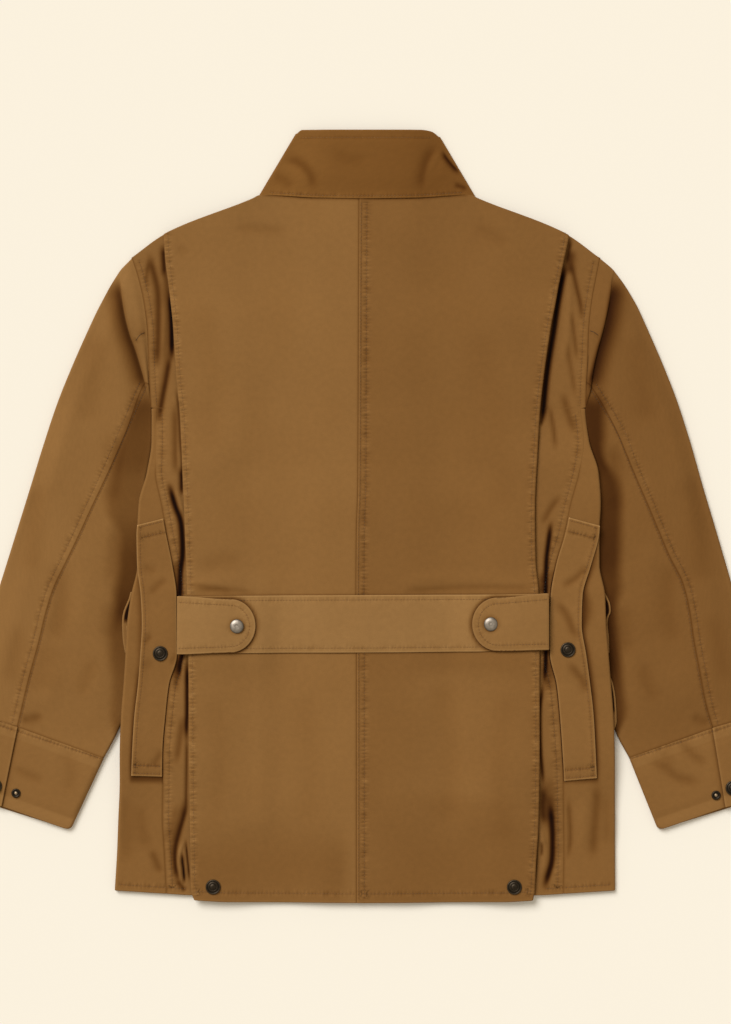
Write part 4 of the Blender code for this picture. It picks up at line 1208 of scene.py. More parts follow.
def add_belt_tab(side, material):
    """Tab sewn over the belt's end, with a half-round tip towards the middle."""
    share, offset = stops(TAB_SPAN, 2.4, CLOSE, PLAIN)
    start, level = upright(tab_outline(side, TAB_ROWS))
    x = mix(start, BELT_ENDS[side], share) + SIDES[side] * offset
    towards_end = ramp(np.abs(x - TAB_TIPS[side]), *TAB_WIDENS)
    widening = 1 + TAB_SPREAD[side] * towards_end
    middle = TAB_MIDDLE[side] + TAB_SHIFT[side] * towards_end
    y = middle + (level - TAB_MIDDLE[side]) * widening
    height = 0.2 * noise(x / 18, y / 15, 12)
    tone = np.ones(x.shape)
    sew(x, y, height, tone, SEAM_ROWS[f"belt_tab_{side}"])
    rim = np.minimum(np.abs(x - start), TAB_HALF * widening - np.abs(y - middle))
    x_snap, y_snap = SNAPS[f"snap_tab_{side}"]
    from_snap = np.hypot(x - x_snap, y - y_snap)
    height = height - 0.5 * bell(outside(from_snap - 7), 5)
    # painted shadow in a ring round the snap
    tone = tone * edge_wear_and_highlight(rim, 0.14, 1.3) * (1 - 0.25 * bell(outside(from_snap - 8), 1.8))
    z = back_middle(x, y) + 2 * BELT_RISE + 0.6 + 0.5 * ramp(rim, 0, 8) + height
    return add_cloth(f"belt_tab_{side}", x, y, z, tone, material, grain="flat")


# ---- sleeves and cuffs ----

SAMPLES = 41
SLEEVE_SPANS = {"outer": 72, "inner": 66}  # from the back seam to each fold
UNDER_COLUMNS = {"outer": 9, "inner": 6}
SLEEVE_PUFF = 4.2
CAP_AT = 14.0  # place of the cap fold along the sleeve
CAP_HEIGHT = 2.4
CAP_HANGS = {"outer": (0.62, 1.0), "inner": (0.1, 0.8)}  # shares of the way to each fold where it fades
QUIET_CAP = 0.25  # its height where it doesn't hang over, as a share
ARMPIT_GAP = -0.4  # between the body's edge and the inner fold, which reaches under it
CAP_RISE = np.array([0, 0.03, 0.08, 0.14, 0.22, 0.32, 0.44, 0.57, 0.70, 0.82, 0.90])
CAP_TURN = (  # along the sleeve from the fold: where it hangs over, where it doesn't; height
    (-0.8, -1.0, 1.00), (0.1, -0.5, 1.00), (0.9, 0.0, 0.93), (1.3, 0.4, 0.80), (1.4, 0.8, 0.64),
    (1.0, 1.2, 0.48), (0.4, 1.6, 0.33), (-0.3, 2.0, 0.20), (-0.8, 2.5, 0.07), (-0.8, 3.1, -0.07),
    (0.0, 3.8, -0.19), (1.5, 4.8, -0.28), (3.5, 6.2, -0.32), (6.0, 8.2, -0.28), (9.0, 10.8, -0.19),
    (12.5, 13.8, -0.10), (16.5, 17.2, -0.03), (20.5, 20.8, 0.0),
)
CUFF_DEPTH = 94
CUFF_SPAN = 60  # from its slit to its outer fold
CUFF_MARGIN = 0.5  # between the cuff and the sleeve


def key_row(side, row, end):
    """Points across the sleeve from its back seam to its outer or inner fold."""
    table = SLEEVE_ROWS[side][row]
    outer, seam, inner = (np.array(table[at : at + 2]) for at in (0, 2, 4))
    points = mix(seam, outer if end == "outer" else inner, np.linspace(0, 1, SAMPLES)[:, None])
    first = SLEEVE_ROWS[side][0]
    down = np.clip((points[:, 1] - table[1]) / (table[5] - table[1]), 0, 1)
    straight = mix(first[0], first[4], down)
    armhole = BODY_LINES[side](mix(first[1], first[5], down)) + SIDES[side] * 0.2
    points[:, 0] += table[6] * (armhole - straight)
    return points


def cap_row(side, end):
    """Points along the fold that hangs over from the sleeve cap."""
    route = np.array(CAP_FOLDS[side])
    seam, inner = route[-1], np.array(CAP_INNER[side])
    if end == "inner":
        return mix(seam, inner, np.linspace(0, 1, SAMPLES)[:, None])
    y = mix(seam[1], route[0][1], np.linspace(0, 1, SAMPLES))
    return np.stack((smooth_line(route[:, 1], route[:, 0])(y), y), axis=1)


def sleeve_places(side, end):
    """Places along the sleeve of its key rows, and their points. The second row is the cap fold."""
    table = SLEEVE_ROWS[side]
    rows = [key_row(side, 0, end), cap_row(side, end)]
    rows += [key_row(side, row, end) for row in range(2, len(table))]
    centres = np.array([CAP_FOLDS[side][-1], *(row[2:4] for row in table[2:])])
    beyond = CAP_AT + np.cumsum(np.linalg.norm(np.diff(centres, axis=0), axis=1))
    return np.array([0.0, CAP_AT, *beyond]), np.array(rows)


def sleeve_rows(side, end):
    """Points, cap height and place along the sleeve of its grid's rows, before its columns are set."""
    places, keys = sleeve_places(side, end)
    hang = 1 - ramp(np.linspace(0, 1, SAMPLES), *CAP_HANGS[end])
    over, plain, level = np.array(CAP_TURN).T[:, :, None]
    turn = CAP_AT + mix(plain, over, hang)
    share, offset = upright(stops(places[-1] - CAP_AT - CAP_TURN[-1][1], 2.6, PLAIN, CLOSE))
    rest = mix(turn[-1], places[-1], share[1:]) + offset[1:]
    place = np.concatenate((CAP_AT * CAP_RISE[:, None] + 0 * hang, turn, rest))
    rise = ramp(CAP_RISE, 0, 0.35)[:, None]
    quiet = mix(QUIET_CAP, 1, hang)
    height = np.concatenate((rise * quiet, level * quiet, 0 * rest))
    columns = [
        np.stack([smooth_line(places, keys[:, u, axis])(place[:, u]) for axis in (0, 1)], axis=1)
        for u in range(SAMPLES)
    ]
    points = np.stack(columns, axis=1)
    if end == "inner":
        close_armpit(side, points)
    return points, CAP_HEIGHT * height, place


def close_armpit(side, points):
    """Moves the inner fold up to the body, so that no slit shows between them."""
    edge = points[:, -1]
    gap = outside(SIDES[side] * (edge[:, 0] - BODY_LINES[side](edge[:, 1])) - ARMPIT_GAP)
    gap = gap * ramp(edge[:, 1], 20, 40)
    points[..., 0] -= SIDES[side] * gap[:, None] * np.linspace(0, 1, SAMPLES) ** 2


def along_rows(rows, values, distance):
    """Each of the values at distances along each row of points."""
    lengths = running_length(rows, 1)
    result = [
        [np.interp(here, length, value) for value in row_values.T]
        for here, length, row_values in zip(distance, lengths, values)
    ]
    return np.moveaxis(np.array(result), 1, 0)


def sleeve_puff(x, y, from_fold, from_cuff):
    """The sleeve is fuller between its folds, and pressed flat where the body lies on it."""
    near_cuff = mix(0.15, 1, ramp(from_cuff, 4, 70))
    waves = 0.4 * noise(x / 52, y / 47, 14) + 0.18 * noise(x / 21, y / 17, 15)
    return (SLEEVE_PUFF * near_cuff + waves) * ramp(np.minimum(from_fold, past_body(x, y)), 0, 34)


def body_shade(side, x, y):
    """Painted shade on the sleeve beside the body's edge, which lies over it."""
    dark, reach = side_shade(SLEEVE_SHADES, side, y)
    fall = np.minimum(8, 0.5 * reach)
    beside = ramp(past_body(x, y), reach + fall, reach - fall)
    return 1 - dark * beside * ramp(y, 148, 118) * ramp(y, -320, -262)


def off_column(start, direction, distance):
    """X and Y at distances from a column of points, in the direction of each row."""
    return [start[:, at : at + 1] + direction[:, at : at + 1] * distance for at in (0, 1)]


def mix_columns(start, end, share):
    """X and Y at shares of the way from one column of points to another."""
    return [mix(start[:, at : at + 1], end[:, at : at + 1], share) for at in (0, 1)]


def add_sleeve_part(node, side, end, material):
    """Upper piece round the outer fold, or under piece round the inner fold."""
    rows, cap, place = sleeve_rows(side, end)
    other = sleeve_rows(side, "inner" if end == "outer" else "outer")[0]
    edge, far_edge = rows[:, -1], other[:, -1]
    share, offset = stops(SLEEVE_SPANS[end], 2.4, CLOSE, PLAIN)
    radius = fold_radius(edge[:, 1:])
    reach = running_length(rows, 1)[:, -1:] - radius - THICK / 2
    distance = SEAM + mix(0, reach - SEAM, share) + offset * np.clip(reach / 30, 0.05, 1)
    x, y, cap, place = along_rows(rows, np.dstack((rows, cap, place)), distance)
    from_fold, from_cuff = reach - distance, place.max() - place
    height, tone = relief(node, x, y, SLEEVE_CREASES)
    height = height * ramp(np.minimum(from_fold, past_body(x, y)), 0, 9)
    tone = tone * body_shade(side, x, y) * edge_wear_and_highlight(from_fold, 0.06, 4)
    tone = tone * (1 - 0.32 * bell(distance, 1.1)) * (1 - 0.25 * bell(from_cuff, 1.6))
    z = WALL + hollow(y) + WALL / 2 + sleeve_puff(x, y, from_fold, from_cuff) + cap + height
    turn = np.stack((x[:, -1], y[:, -1]), axis=1)
    fold_x, fold_y = off_column(turn, unit(edge - rows[:, -4]), radius * np.cos(ARC))
    up = 1 + np.sin(ARC)
    fold_z = WALL / 2 + radius * up + (z[:, -1:] - WALL / 2 - 2 * radius) * up / 2
    meet = mix(edge, far_edge, 1 - FRONT_SEAM_AT if end == "outer" else FRONT_SEAM_AT)
    meet = meet + unit(edge - far_edge) * SEAM
    under_x, under_y = mix_columns(turn, meet, np.linspace(0, 1, UNDER_COLUMNS[end]))
    blocks = (
        (x, y, z, tone),
        (fold_x, fold_y, fold_z, tone[:, -1:] + 0 * fold_x),
        # the hidden underside is painted slightly darker, as shade
        (under_x, under_y, WALL / 2 + 0 * under_x, 0.97 + 0 * under_x),
    )
    return add_cloth(node, *join(blocks), material, grain="own")


def cuff_lines(side, down, drop):
    """The cuff's outer fold, tab end and inner fold, as points from its seam to its hem."""
    last = SLEEVE_ROWS[side][-1]
    drop = drop + CUFF_MARGIN * (1 - down)
    for at, hem in enumerate(CUFF_HEM[side]):
        seam, hem = np.array(last[2 * at : 2 * at + 2]), np.array(hem)
        yield mix(seam, hem, down) + unit(hem - seam) * drop


def add_cuff(side, material):
    """Band round the wrist, from its tab end round both folds to the end under the tab."""
    down, drop = upright(stops(CUFF_DEPTH, 2.6))
    outer, slit, inner = cuff_lines(side, down, drop)
    out, back = unit(outer - slit), unit(inner - slit)
    low, high = WALL / 2, 1.5 * WALL + HOLLOW
    radius = (high - low) / 2
    setback = radius + THICK / 2 + corner_cut(CUFF_DEPTH * (1 - down) - drop)
    outer_reach, inner_reach = (
        np.linalg.norm(fold - slit, axis=1)[:, None] - setback for fold in (outer, inner)
    )
    share, offset = stops(CUFF_SPAN, 2.6, CLOSE, PLAIN)
    over = mix(0, outer_reach, share) + offset * np.clip(outer_reach / 40, 0.2, 1)
    raised = high + LAYER * ramp(over, TAB_SLOPE, TAB_LENGTH)
    outer_turn, inner_turn = slit + out * outer_reach, slit + back * inner_reach
    under_x, under_y = mix_columns(outer_turn, inner_turn, np.linspace(0, 1, 22))
    share = np.linspace(0, 1, 24)
    lap = UNDERLAP * np.linspace(0, 1, 6)[1:] + 0 * down
    beside = np.concatenate((inner_reach * (1 - share), -lap), axis=1)
    blocks = (
        cuff_face(side, slit, out, over, raised, down, tab=True),
        cuff_fold(outer_turn, out, radius, ARC),
        # the hidden underside is painted slightly darker, as shade
        (under_x, under_y, low + 0 * under_x, 0.97 + 0 * under_x),
        cuff_fold(inner_turn, back, radius, ARC[::-1]),
        cuff_face(side, slit, back, beside, high, down, tab=False),
    )
    return add_cloth(f"cuff_{side}", *join(blocks), material, grain="own")


def corner_cut(from_hem):
    """How far the cuff's rounded corners lie inside its folds."""
    return CORNER - np.sqrt(CORNER**2 - np.clip(CORNER - from_hem, 0, CORNER) ** 2)


def cuff_face(side, slit, direction, distance, level, down, tab):
    """The visible face of the cuff on one side of its slit: the tab, or the part that the tab lies on."""
    x, y = off_column(slit, direction, distance)
    height, tone = relief(f"cuff_{side}", x, y, CUFF_CREASES)
    from_seam = CUFF_DEPTH * down
    from_hem = CUFF_DEPTH - from_seam
    tone = tone * edge_wear_and_highlight(from_hem, 0.12, 1.6) * edge_wear_and_highlight(from_seam, 0.10)
    # beside the slit the part under the tab is painted dark, as the tab's shadow
    tone = tone * (edge_wear_and_highlight(distance, 0.14) if tab else 1 - 0.45 * bell(distance, 2.6))
    swell = 0.9 * ramp(from_seam, 0, 14) * ramp(from_hem, 0, 14) + 0.35 * bell(from_seam, 6)
    return x, y, level + swell + height, tone


def cuff_fold(turn, direction, radius, swing):
    x, y = off_column(turn, direction, radius * np.cos(swing))
    # the rolled fold is painted a little lighter: wear and a highlight on the roll
    return x, y, WALL / 2 + radius * (1 + np.sin(swing)) + 0 * x, 1.03 + 0 * x


# ---- collar ----

COLLAR_DEPTH = 74
COLLAR_SETBACK = LAYER / 2 + THICK / 2
COLLAR_PUFF = 2.4
COLLAR_FALLOFF = 0.0014  # painted shade: it is darker to the right, away from the light, by this for each millimetre
UPPER_EDGE = 424.8  # y


def band(places, rise):
    """X and Y of the collar at columns of (seam x, seam y, edge x, edge y)."""
    share, offset = rise
    seam_x, seam_y, edge_x, edge_y = places
    at = share + offset / np.hypot(edge_x - seam_x, edge_y - seam_y)
    return mix(seam_x, edge_x, at), mix(seam_y, edge_y, at)


def moved_fold(fold, offset):
    """A fold of the collar, moved along X."""
    seam_x, seam_y, edge_x, edge_y = fold
    return seam_x + offset, seam_y, edge_x + offset, edge_y


def collar_side(sign, fold, rise):
    """The end of the collar that is folded under at one side, from its fold to the middle front."""
    table = (*COLLAR_SIDE, moved_fold([abs(value) for value in fold], -2))
    x, y = band(columns_at(table, np.linspace(4, 0.02, 24)), rise)
    # the end folded under is painted a little darker, as shade
    return sign * x, y, WALL / 2 + 0 * x, 0.95 + 0 * x


def collar_arc(sign, fold, rise):
    radius = LAYER / 2
    x, y = band([np.full(len(ARC), value) for value in fold], rise)
    x = x - sign * COLLAR_SETBACK + sign * radius * np.cos(ARC)
    # the rolled fold is painted a little lighter: wear and a highlight on the roll
    return x, y, WALL / 2 + radius * (1 + np.sin(ARC)) + 0 * x, 1.05 + 0 * x


def add_collar(material):
    """Stand-up collar pressed flat: the back across the top, each end folded under at its side."""
    rise = upright(stops(78, 2.6))
    share, offset = rise
    left, right = COLLAR_FOLD["left"], COLLAR_FOLD["right"]
    table = (moved_fold(left, COLLAR_SETBACK), *COLLAR_BACK, moved_fold(right, -COLLAR_SETBACK))
    x, y = band(columns_at(table, np.linspace(0, len(table) - 1, 96)), rise)
    up = share + offset / COLLAR_DEPTH
    from_seam, from_top = COLLAR_DEPTH * up, COLLAR_DEPTH * (1 - up)
    from_fold = np.minimum(x - x[:, :1], x[:, -1:] - x)
    height, tone = relief("collar", x, y, COLLAR_CREASES)
    height = height * ramp(from_fold, -2, 8) + 0.25 * noise(x / 24, y / 19, 16)
    puff = ramp(from_fold, 0, 42) * mix(0.25, 1, ramp(up, 0, 0.35)) * mix(0.5, 1, ramp(up, 1, 0.75))
    edges = edge_wear_and_highlight(from_seam, 0.14) * edge_wear_and_highlight(from_top, 0.10) * edge_wear_and_highlight(from_fold, 0.05, 2)
    tone = tone * edges * (1 - COLLAR_FALLOFF * np.clip(x, -80, 80))
    lies_on = LAYER + placket_lift(x) + WALL / 2
    z = lies_on + COLLAR_PUFF * puff + height + 0.5 * bell(from_seam, 5)
    blocks = (
        [values[:, ::-1] for values in collar_side(-1, left, rise)],
        [values[:, ::-1] for values in collar_arc(-1, left, rise)],
        (x, y, z, tone),
        collar_arc(1, right, rise),
        collar_side(1, right, rise),
    )
    return add_cloth("collar", *join(blocks), material, grain="own")


# ---- seams and stitches ----

GROOVE = 0.28
SEAM_GROOVE = 0.7  # marks a plain seam: its thread is a dark line
STITCH_PITCH = 3.3
STITCH_LENGTH = 2.3
STITCH_RINGS = ((-0.5, 0.45), (-0.3, 1.0), (0.3, 1.0), (0.5, 0.45))  # place along it, thickness
RING_CORNERS = 4
THREAD = 0.30  # half the thread's thickness
ROW_LIFT, SEAM_LIFT = 0.10, 0.25  # height of the thread's middle above the cloth
SEAM_LENGTHS = 1.6  # a plain seam's stitches are longer, so that they join into a line,
SEAM_THREAD = 0.35  # and darker
LEAST_LEVEL = 0.3  # steeper cloth (upward part of the direction off it) gets no stitch
SWERVE = 0.10
STITCH_LENGTHS = (0.88, 1.08)
STITCH_SHADES = (0.9, 1.1)
ABOVE = 90  # a height over the whole jacket


def line_route(line, top, bottom, steps=48):
    """Points down a line that gives X at a Y."""
    y = np.linspace(top, bottom, steps)
    return np.stack((line(y), y), axis=1)


def level_route(line, ends, steps=14):
    """Points from left to right on a line that gives Y at a distance from the middle."""
    x = np.linspace(*sorted(ends), steps)
    return np.stack((x, line(np.abs(x))), axis=1)


def rightwards(side, outer, inner):
    """A straight route from left to right between an outer and an inner point."""
    return np.array((outer, inner) if side == "left" else (inner, outer))


def tab_route(side):
    """The stitch row round a tab, inside its edge."""
    x, y = tab_outline(side, 24, TAB_INSET)
    wider = TAB_SPREAD[side] * TAB_HALF
    top = (BELT_ENDS[side], y[0] + TAB_SHIFT[side] + wider)
    bottom = (BELT_ENDS[side], y[-1] + TAB_SHIFT[side] - wider)
    return np.vstack((top, np.stack((x, y), axis=1), bottom))


def body_seam_rows(side):
    sign = SIDES[side]
    pleat = line_route(PLEAT_LINES[side], 314, -419)
    armhole = line_route(BODY_LINES[side], 281, 121, 14)
    seam = line_route(SEAM_LINES[side], 115, -411)
    centre = line_route(CENTRE_LINE, 347, -423)
    hem = level_route(BACK_HEM_LINE, (-9.0 + 2 * sign, PLEAT_LINES[side](-421.0)))
    back = [(pleat, -sign * 4.6, 0.34, 4.4, 0.0), (hem, 9.5, 0.20, 4.0, GROOVE)]
    if side == "right":
        back += [(centre, 1.7, 0.10, 2.2, GROOVE), (centre, 7.9, 0.34, 4.6, GROOVE)]
    seam_end, body_end = SEAM_LINES[side](-413.0), BODY_LINES[side](-413.0)
    side_hem = level_route(SIDE_HEM_LINE, (sign * 197.0, seam_end), 6)
    front_hem = level_route(SIDE_HEM_LINE, (seam_end, body_end - sign * 3), 8)
    return {
        f"back_{side}": back,
        f"side_back_{side}": [
            (armhole, -sign * 6.6, 0.20, 4.4, GROOVE),
            (seam, -sign * 6.5, 0.27, 5.0, GROOVE),
            (side_hem, 6.2, 0.24, 4.0, GROOVE),
        ],
        f"front_{side}": [(front_hem, 6.2, 0.24, 4.0, GROOVE)],
    }


def sleeve_seam_rows(side):
    sign = SIDES[side]
    table = SLEEVE_ROWS[side]
    seam = smooth_route([CAP_FOLDS[side][-1], *(row[2:4] for row in table[2:])], 3)
    cuff_top = rightwards(side, table[-1][0:2], table[-1][4:6])
    return {
        f"sleeve_upper_{side}": [
            (seam, sign * 6.5, 0.26, 4.2, GROOVE),
            (smooth_route(CAP_SEAMS[side]), 0.0, 0.10, 2.2, SEAM_GROOVE),
        ],
        f"sleeve_under_{side}": [(seam, -sign * 1.8, 0.14, 3.0, GROOVE)],
        f"cuff_{side}": [(cuff_top, -1.5, 0.30, 3.2, 0.5)],
    }


def welt_seam_rows(side):
    inner, outer = welt_lines(side)
    high, low = WELT_TOP[side], WELT_BOTTOM[side]
    top, bottom = (
        rightwards(side, (outer(at_edge), at_edge), (inner(at_seam), at_seam))
        for at_seam, at_edge in (high, low)
    )
    edge = line_route(outer, high[1] - 1, low[1] + 1)
    return {
        f"welt_{side}": [
            (top, -2.4, 0.12, 3.0, GROOVE),
            (top, -WELT_BARS[0], 0.30, 3.4, 0.6),
            (bottom, 2.4, 0.12, 3.0, GROOVE),
            (bottom, WELT_BARS[1], 0.30, 3.4, 0.6),
            (edge, -SIDES[side] * 3.4, 0.14, 3.0, GROOVE),
        ]
    }


def all_seam_rows():
    """The stitch rows of every piece, in the form that sew takes."""
    rows = {}
    for side in SIDES:
        rows |= body_seam_rows(side) | sleeve_seam_rows(side) | welt_seam_rows(side)
        rows[f"belt_tab_{side}"] = [(tab_route(side), 0.0, 0.18, 3.4, 0.18)]
    rows["belt"] = [(np.array(BELT_TOP), -4.6, 0.16, 3.4, 0.1), (np.array(BELT_BOTTOM), 4.6, 0.16, 3.4, 0.1)]
    neck = smooth_route([(x, y) for x, y, *_ in COLLAR_BACK])
    upper = np.array([(x, UPPER_EDGE) for x in (-72, 0, 72)])
    rows["collar"] = [(neck, 2.4, 0.20, 3.6, GROOVE), (upper, -8.2, 0.10, 3.0, GROOVE)]
    return rows


def stitch_places(route, offset):
    """Middle and direction of each stitch on a row beside a route."""
    tangent = unit(np.gradient(route, axis=0))
    line = route + offset * np.stack((-tangent[:, 1], tangent[:, 0]), axis=1)
    length = np.concatenate(([0], np.cumsum(np.linalg.norm(np.diff(line, axis=0), axis=1))))
    at = np.arange(STITCH_PITCH, length[-1] - STITCH_PITCH / 2, STITCH_PITCH)
    start, end = (
        np.stack([np.interp(at + step, length, values) for values in line.T], axis=1) for step in (-0.5, 0.5)
    )
    return (start + end) / 2, unit(end - start)


def surface_of(piece):
    mesh = piece.data
    points = [vertex.co for vertex in mesh.vertices]
    return BVHTree.FromPolygons(points, [tuple(face.vertices) for face in mesh.polygons])


def land_on(surface, x, y):
    """Where a point above the jacket lands on a piece: place in metres, direction off it and face."""
    return surface.ray_cast(Vector((x, y, ABOVE)) * MM, Vector((0, 0, -1)))[:3]


def cloth_tone(piece, face):
    """The tone of the cloth at one face, its painted shade included, for the thread that lies on it."""
    corner = piece.data.polygons[face].vertices[0]
    return np.array(piece.data.attributes["tone"].data[corner].vector)


def stitch_points(centre, along, off, length):
    """Rings of four points round one stitch."""
    across = off.cross(along)
    points = []
    for place, wide in STITCH_RINGS:
        middle = centre + along * (place * length * MM)
        reach = THREAD * wide * MM
        points += [middle + way * reach for way in (across, off, -across, -off)]
    return points


def tube_faces(first, rings, corners):
    """Faces round a tube of rings of points, of which the first has the number first."""
    for ring in range(first, first + (rings - 1) * corners, corners):
        for corner in range(corners):
            beside = (corner + 1) % corners
            yield ring + corner, ring + beside, ring + corners + beside, ring + corners + corner


def add_stitches(node, piece, surface, rows, material):
    """The thread of all stitch rows on one piece, as one mesh."""
    chance = np.random.default_rng(len(node) + 5)
    rings, count = len(STITCH_RINGS), len(STITCH_RINGS) * RING_CORNERS
    points, faces, tones = [], [], []
    for route, offset, _, _, groove in rows:
        seam = groove == SEAM_GROOVE
        for (x, y), (run_x, run_y) in zip(*stitch_places(route, offset)):
            place, off, face = land_on(surface, x, y)
            if place is None or off.z < LEAST_LEVEL:
                continue
            swerve = chance.uniform(-SWERVE, SWERVE)
            along = Vector((run_x - swerve * run_y, run_y + swerve * run_x, 0))
            along = (along - off * along.dot(off)).normalized()
            centre = place + off * ((SEAM_LIFT if seam else ROW_LIFT) * MM)
            length = STITCH_LENGTH * (SEAM_LENGTHS if seam else chance.uniform(*STITCH_LENGTHS))
            first = len(points)
            points += stitch_points(centre, along, off, length)
            faces += tube_faces(first, rings, RING_CORNERS)
            faces.append(tuple(range(first + RING_CORNERS - 1, first - 1, -1)))
            faces.append(tuple(range(first + count - RING_CORNERS, first + count)))
            shade = SEAM_THREAD if seam else chance.uniform(*STITCH_SHADES)
            tones += [cloth_tone(piece, face) * shade] * count
    points = np.array(points) / MM
    thread = new_object(f"stitches_{node}", points, faces, np.array(tones), points, material)
    frame_slot(node)
    return thread


# ---- snaps ----

CAP_PROFILE = (  # radius, height, tone: a painted highlight on the rounded rims and painted shade in the grooves
    (0.0, 0.0, 1.0), (0.94, 0.0, 1.0), (1.0, 0.20, 1.1), (1.0, 0.44, 1.7), (0.965, 0.64, 2.3),
    (0.90, 0.73, 1.8), (0.83, 0.70, 1.0), (0.78, 0.57, 0.6), (0.73, 0.55, 0.6), (0.68, 0.66, 1.0),
    (0.59, 0.76, 1.2), (0.50, 0.80, 1.5), (0.46, 0.72, 0.7), (0.41, 0.72, 0.7), (0.37, 0.85, 1.5),
    (0.22, 0.93, 1.3), (0.0, 0.96, 1.2),
)
DOME_PROFILE = (
    (0.0, 0.0, 1.0), (0.94, 0.0, 0.5), (1.0, 0.20, 0.5), (0.98, 0.42, 0.7), (0.91, 0.56, 0.45),
    (0.84, 0.62, 0.8), (0.72, 0.78, 1.0), (0.50, 0.92, 1.15), (0.30, 0.96, 1.1), (0.24, 0.93, 0.8),
    (0.16, 0.93, 1.2), (0.0, 0.95, 1.3),
)
STUD_PROFILE = (
    (0.0, 0.0, 1.0), (0.93, 0.0, 1.0), (1.0, 0.25, 1.0), (0.97, 0.55, 1.4), (0.84, 0.72, 1.3),
    (0.66, 0.68, 0.8), (0.52, 0.36, 0.5), (0.42, 0.32, 1.0), (0.34, 0.46, 2.5), (0.25, 0.56, 9.0),
    (0.12, 0.60, 14.0), (0.0, 0.62, 14.0),
)
SNAP_KINDS = {  # radius, height, profile
    "snap": (8.25, 2.6, CAP_PROFILE),
    "tab": (7.7, 2.4, DOME_PROFILE),
    "stud": (5.1, 2.3, STUD_PROFILE),
}
SNAP_UNDER = {"tab": "belt_tab", "welt": "welt", "hem": "back", "cuff": "cuff"}
SNAP_SIDES = 48
SEAT_RINGS = (0.4, 0.98)  # where the height of the cloth under it is taken, as a share of its radius
SEAT_SHARE = 0.8  # which of these heights it sits on, from the lowest (0) to the highest (1)
SEAT_SINK = 0.15
BRIGHTENING = (1.0, 1.12, 1.25)  # the metal's painted highlights are greyer


def snap_seat(surface, x, y, radius, turns):
    """The height that a cap is seated at."""
    seats = [
        land_on(surface, x + reach * radius * math.cos(turn), y + reach * radius * math.sin(turn))[0]
        for turn in turns
        for reach in SEAT_RINGS
    ]
    levels = sorted(seat.z / MM for seat in seats if seat is not None)
    return levels[round(SEAT_SHARE * (len(levels) - 1))] - SEAT_SINK


def add_snap(node, surface, material):
    """A pressed metal cap, turned from its profile and seated on the cloth under it."""
    kind, place, _ = node.split("_")
    radius, height, profile = SNAP_KINDS["tab" if place == "tab" else kind]
    x, y = SNAPS[node]
    turns = np.linspace(0, 2 * np.pi, SNAP_SIDES, endpoint=False)
    bottom = snap_seat(surface, x, y, radius, turns[::4])
    points, tones = [], []
    for wide, up, tone in profile[1:-1]:
        level = np.full(SNAP_SIDES, bottom + height * up)
        points += zip(x + radius * wide * np.cos(turns), y + radius * wide * np.sin(turns), level)
        tones += [tone] * SNAP_SIDES
    last = len(points)
    top = last - SNAP_SIDES
    points += [(x, y, bottom), (x, y, bottom + height * profile[-1][1])]
    tones += [profile[0][2], profile[-1][2]]
    faces = list(tube_faces(0, last // SNAP_SIDES, SNAP_SIDES))
    for step in range(SNAP_SIDES):
        beside = (step + 1) % SNAP_SIDES
        faces += [(last, beside, step), (last + 1, top + step, top + beside)]
    points = np.array(points)
    tones = np.array(tones)[:, None] ** np.array(BRIGHTENING)
    cap = new_object(f"metal_{node}", points, faces, tones, points, material)
    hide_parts(node)
    frame_slot(node)
    return cap


# ---- materials: sizes in metres ----

RIB_ANGLE, RIB_PITCH = 32, 0.00082
WEFT_ANGLE, WEFT_PITCH = 90, 0.00047
TWIST_ANGLE, TWIST_PITCH = 40, 0.00035
CLOUD_SCALE, LUMP_SCALE, FLECK_SCALE = 11.0, 160.0, 1150.0
BLOTCH_SCALE, PIT_SCALE = 420.0, 1900.0
CLOTH_ROUGHNESS, THREAD_ROUGHNESS = 0.86, 0.55
GATHER_SHADE, GATHER_DEPTH = 0.85, 0.0013
WEAVE_STRENGTH, WEAVE_DEPTH = 0.5, 0.00010
PIT_STRENGTH, PIT_DEPTH = 0.35, 0.00012
CLOTH_GLOSS = {
    "Specular IOR Level": 0.08,
    "Sheen Weight": 0.03,
    "Sheen Roughness": 0.5,
    "Sheen Tint": (0.85, 0.62, 0.40, 1),
}


def make_node(tree, kind, inputs=(), output=0, **settings):
    """A shader node's output. inputs are pairs of a socket and a value, or an output to link to it."""
    made = tree.nodes.new(kind)
    for key, value in settings.items():
        setattr(made, key, value)
    for socket, value in inputs:
        if isinstance(value, bpy.types.NodeSocket):
            tree.links.new(value, made.inputs[socket])
        else:
            made.inputs[socket].default_value = value
    return made.outputs[output]


def math_node(tree, operation, *values):
    return make_node(tree, "ShaderNodeMath", enumerate(values), operation=operation)


def total(tree, *values):
    """The sum of outputs and numbers."""
    first, *others = values
    for other in others:
        first = math_node(tree, "ADD", first, other)
    return first


def ripple(tree, value, amount):
    """A texture's value as a number that swings round zero by half of amount."""
    return math_node(tree, "MULTIPLY", math_node(tree, "SUBTRACT", value, 0.5), amount)


def scaled(tree, colour, factor):
    return make_node(tree, "ShaderNodeVectorMath", ((0, colour), ("Scale", factor)), operation="SCALE")


def vectors_multiplied(tree, first, second):
    return make_node(tree, "ShaderNodeVectorMath", ((0, first), (1, second)), operation="MULTIPLY")


def bump(tree, height, strength, distance, *under):
    inputs = (("Height", height), ("Strength", strength), ("Distance", distance), *under)
    return make_node(tree, "ShaderNodeBump", inputs)


def attribute(tree, name, output="Vector"):
    return make_node(tree, "ShaderNodeAttribute", output=output, attribute_name=name)


def new_material(name):
    """A material, its node tree and the cloth coordinates as the place of its textures."""
    material = bpy.data.materials.new(name)
    material.use_nodes = True
    tree = material.node_tree
    return material, tree, attribute(tree, "cloth")


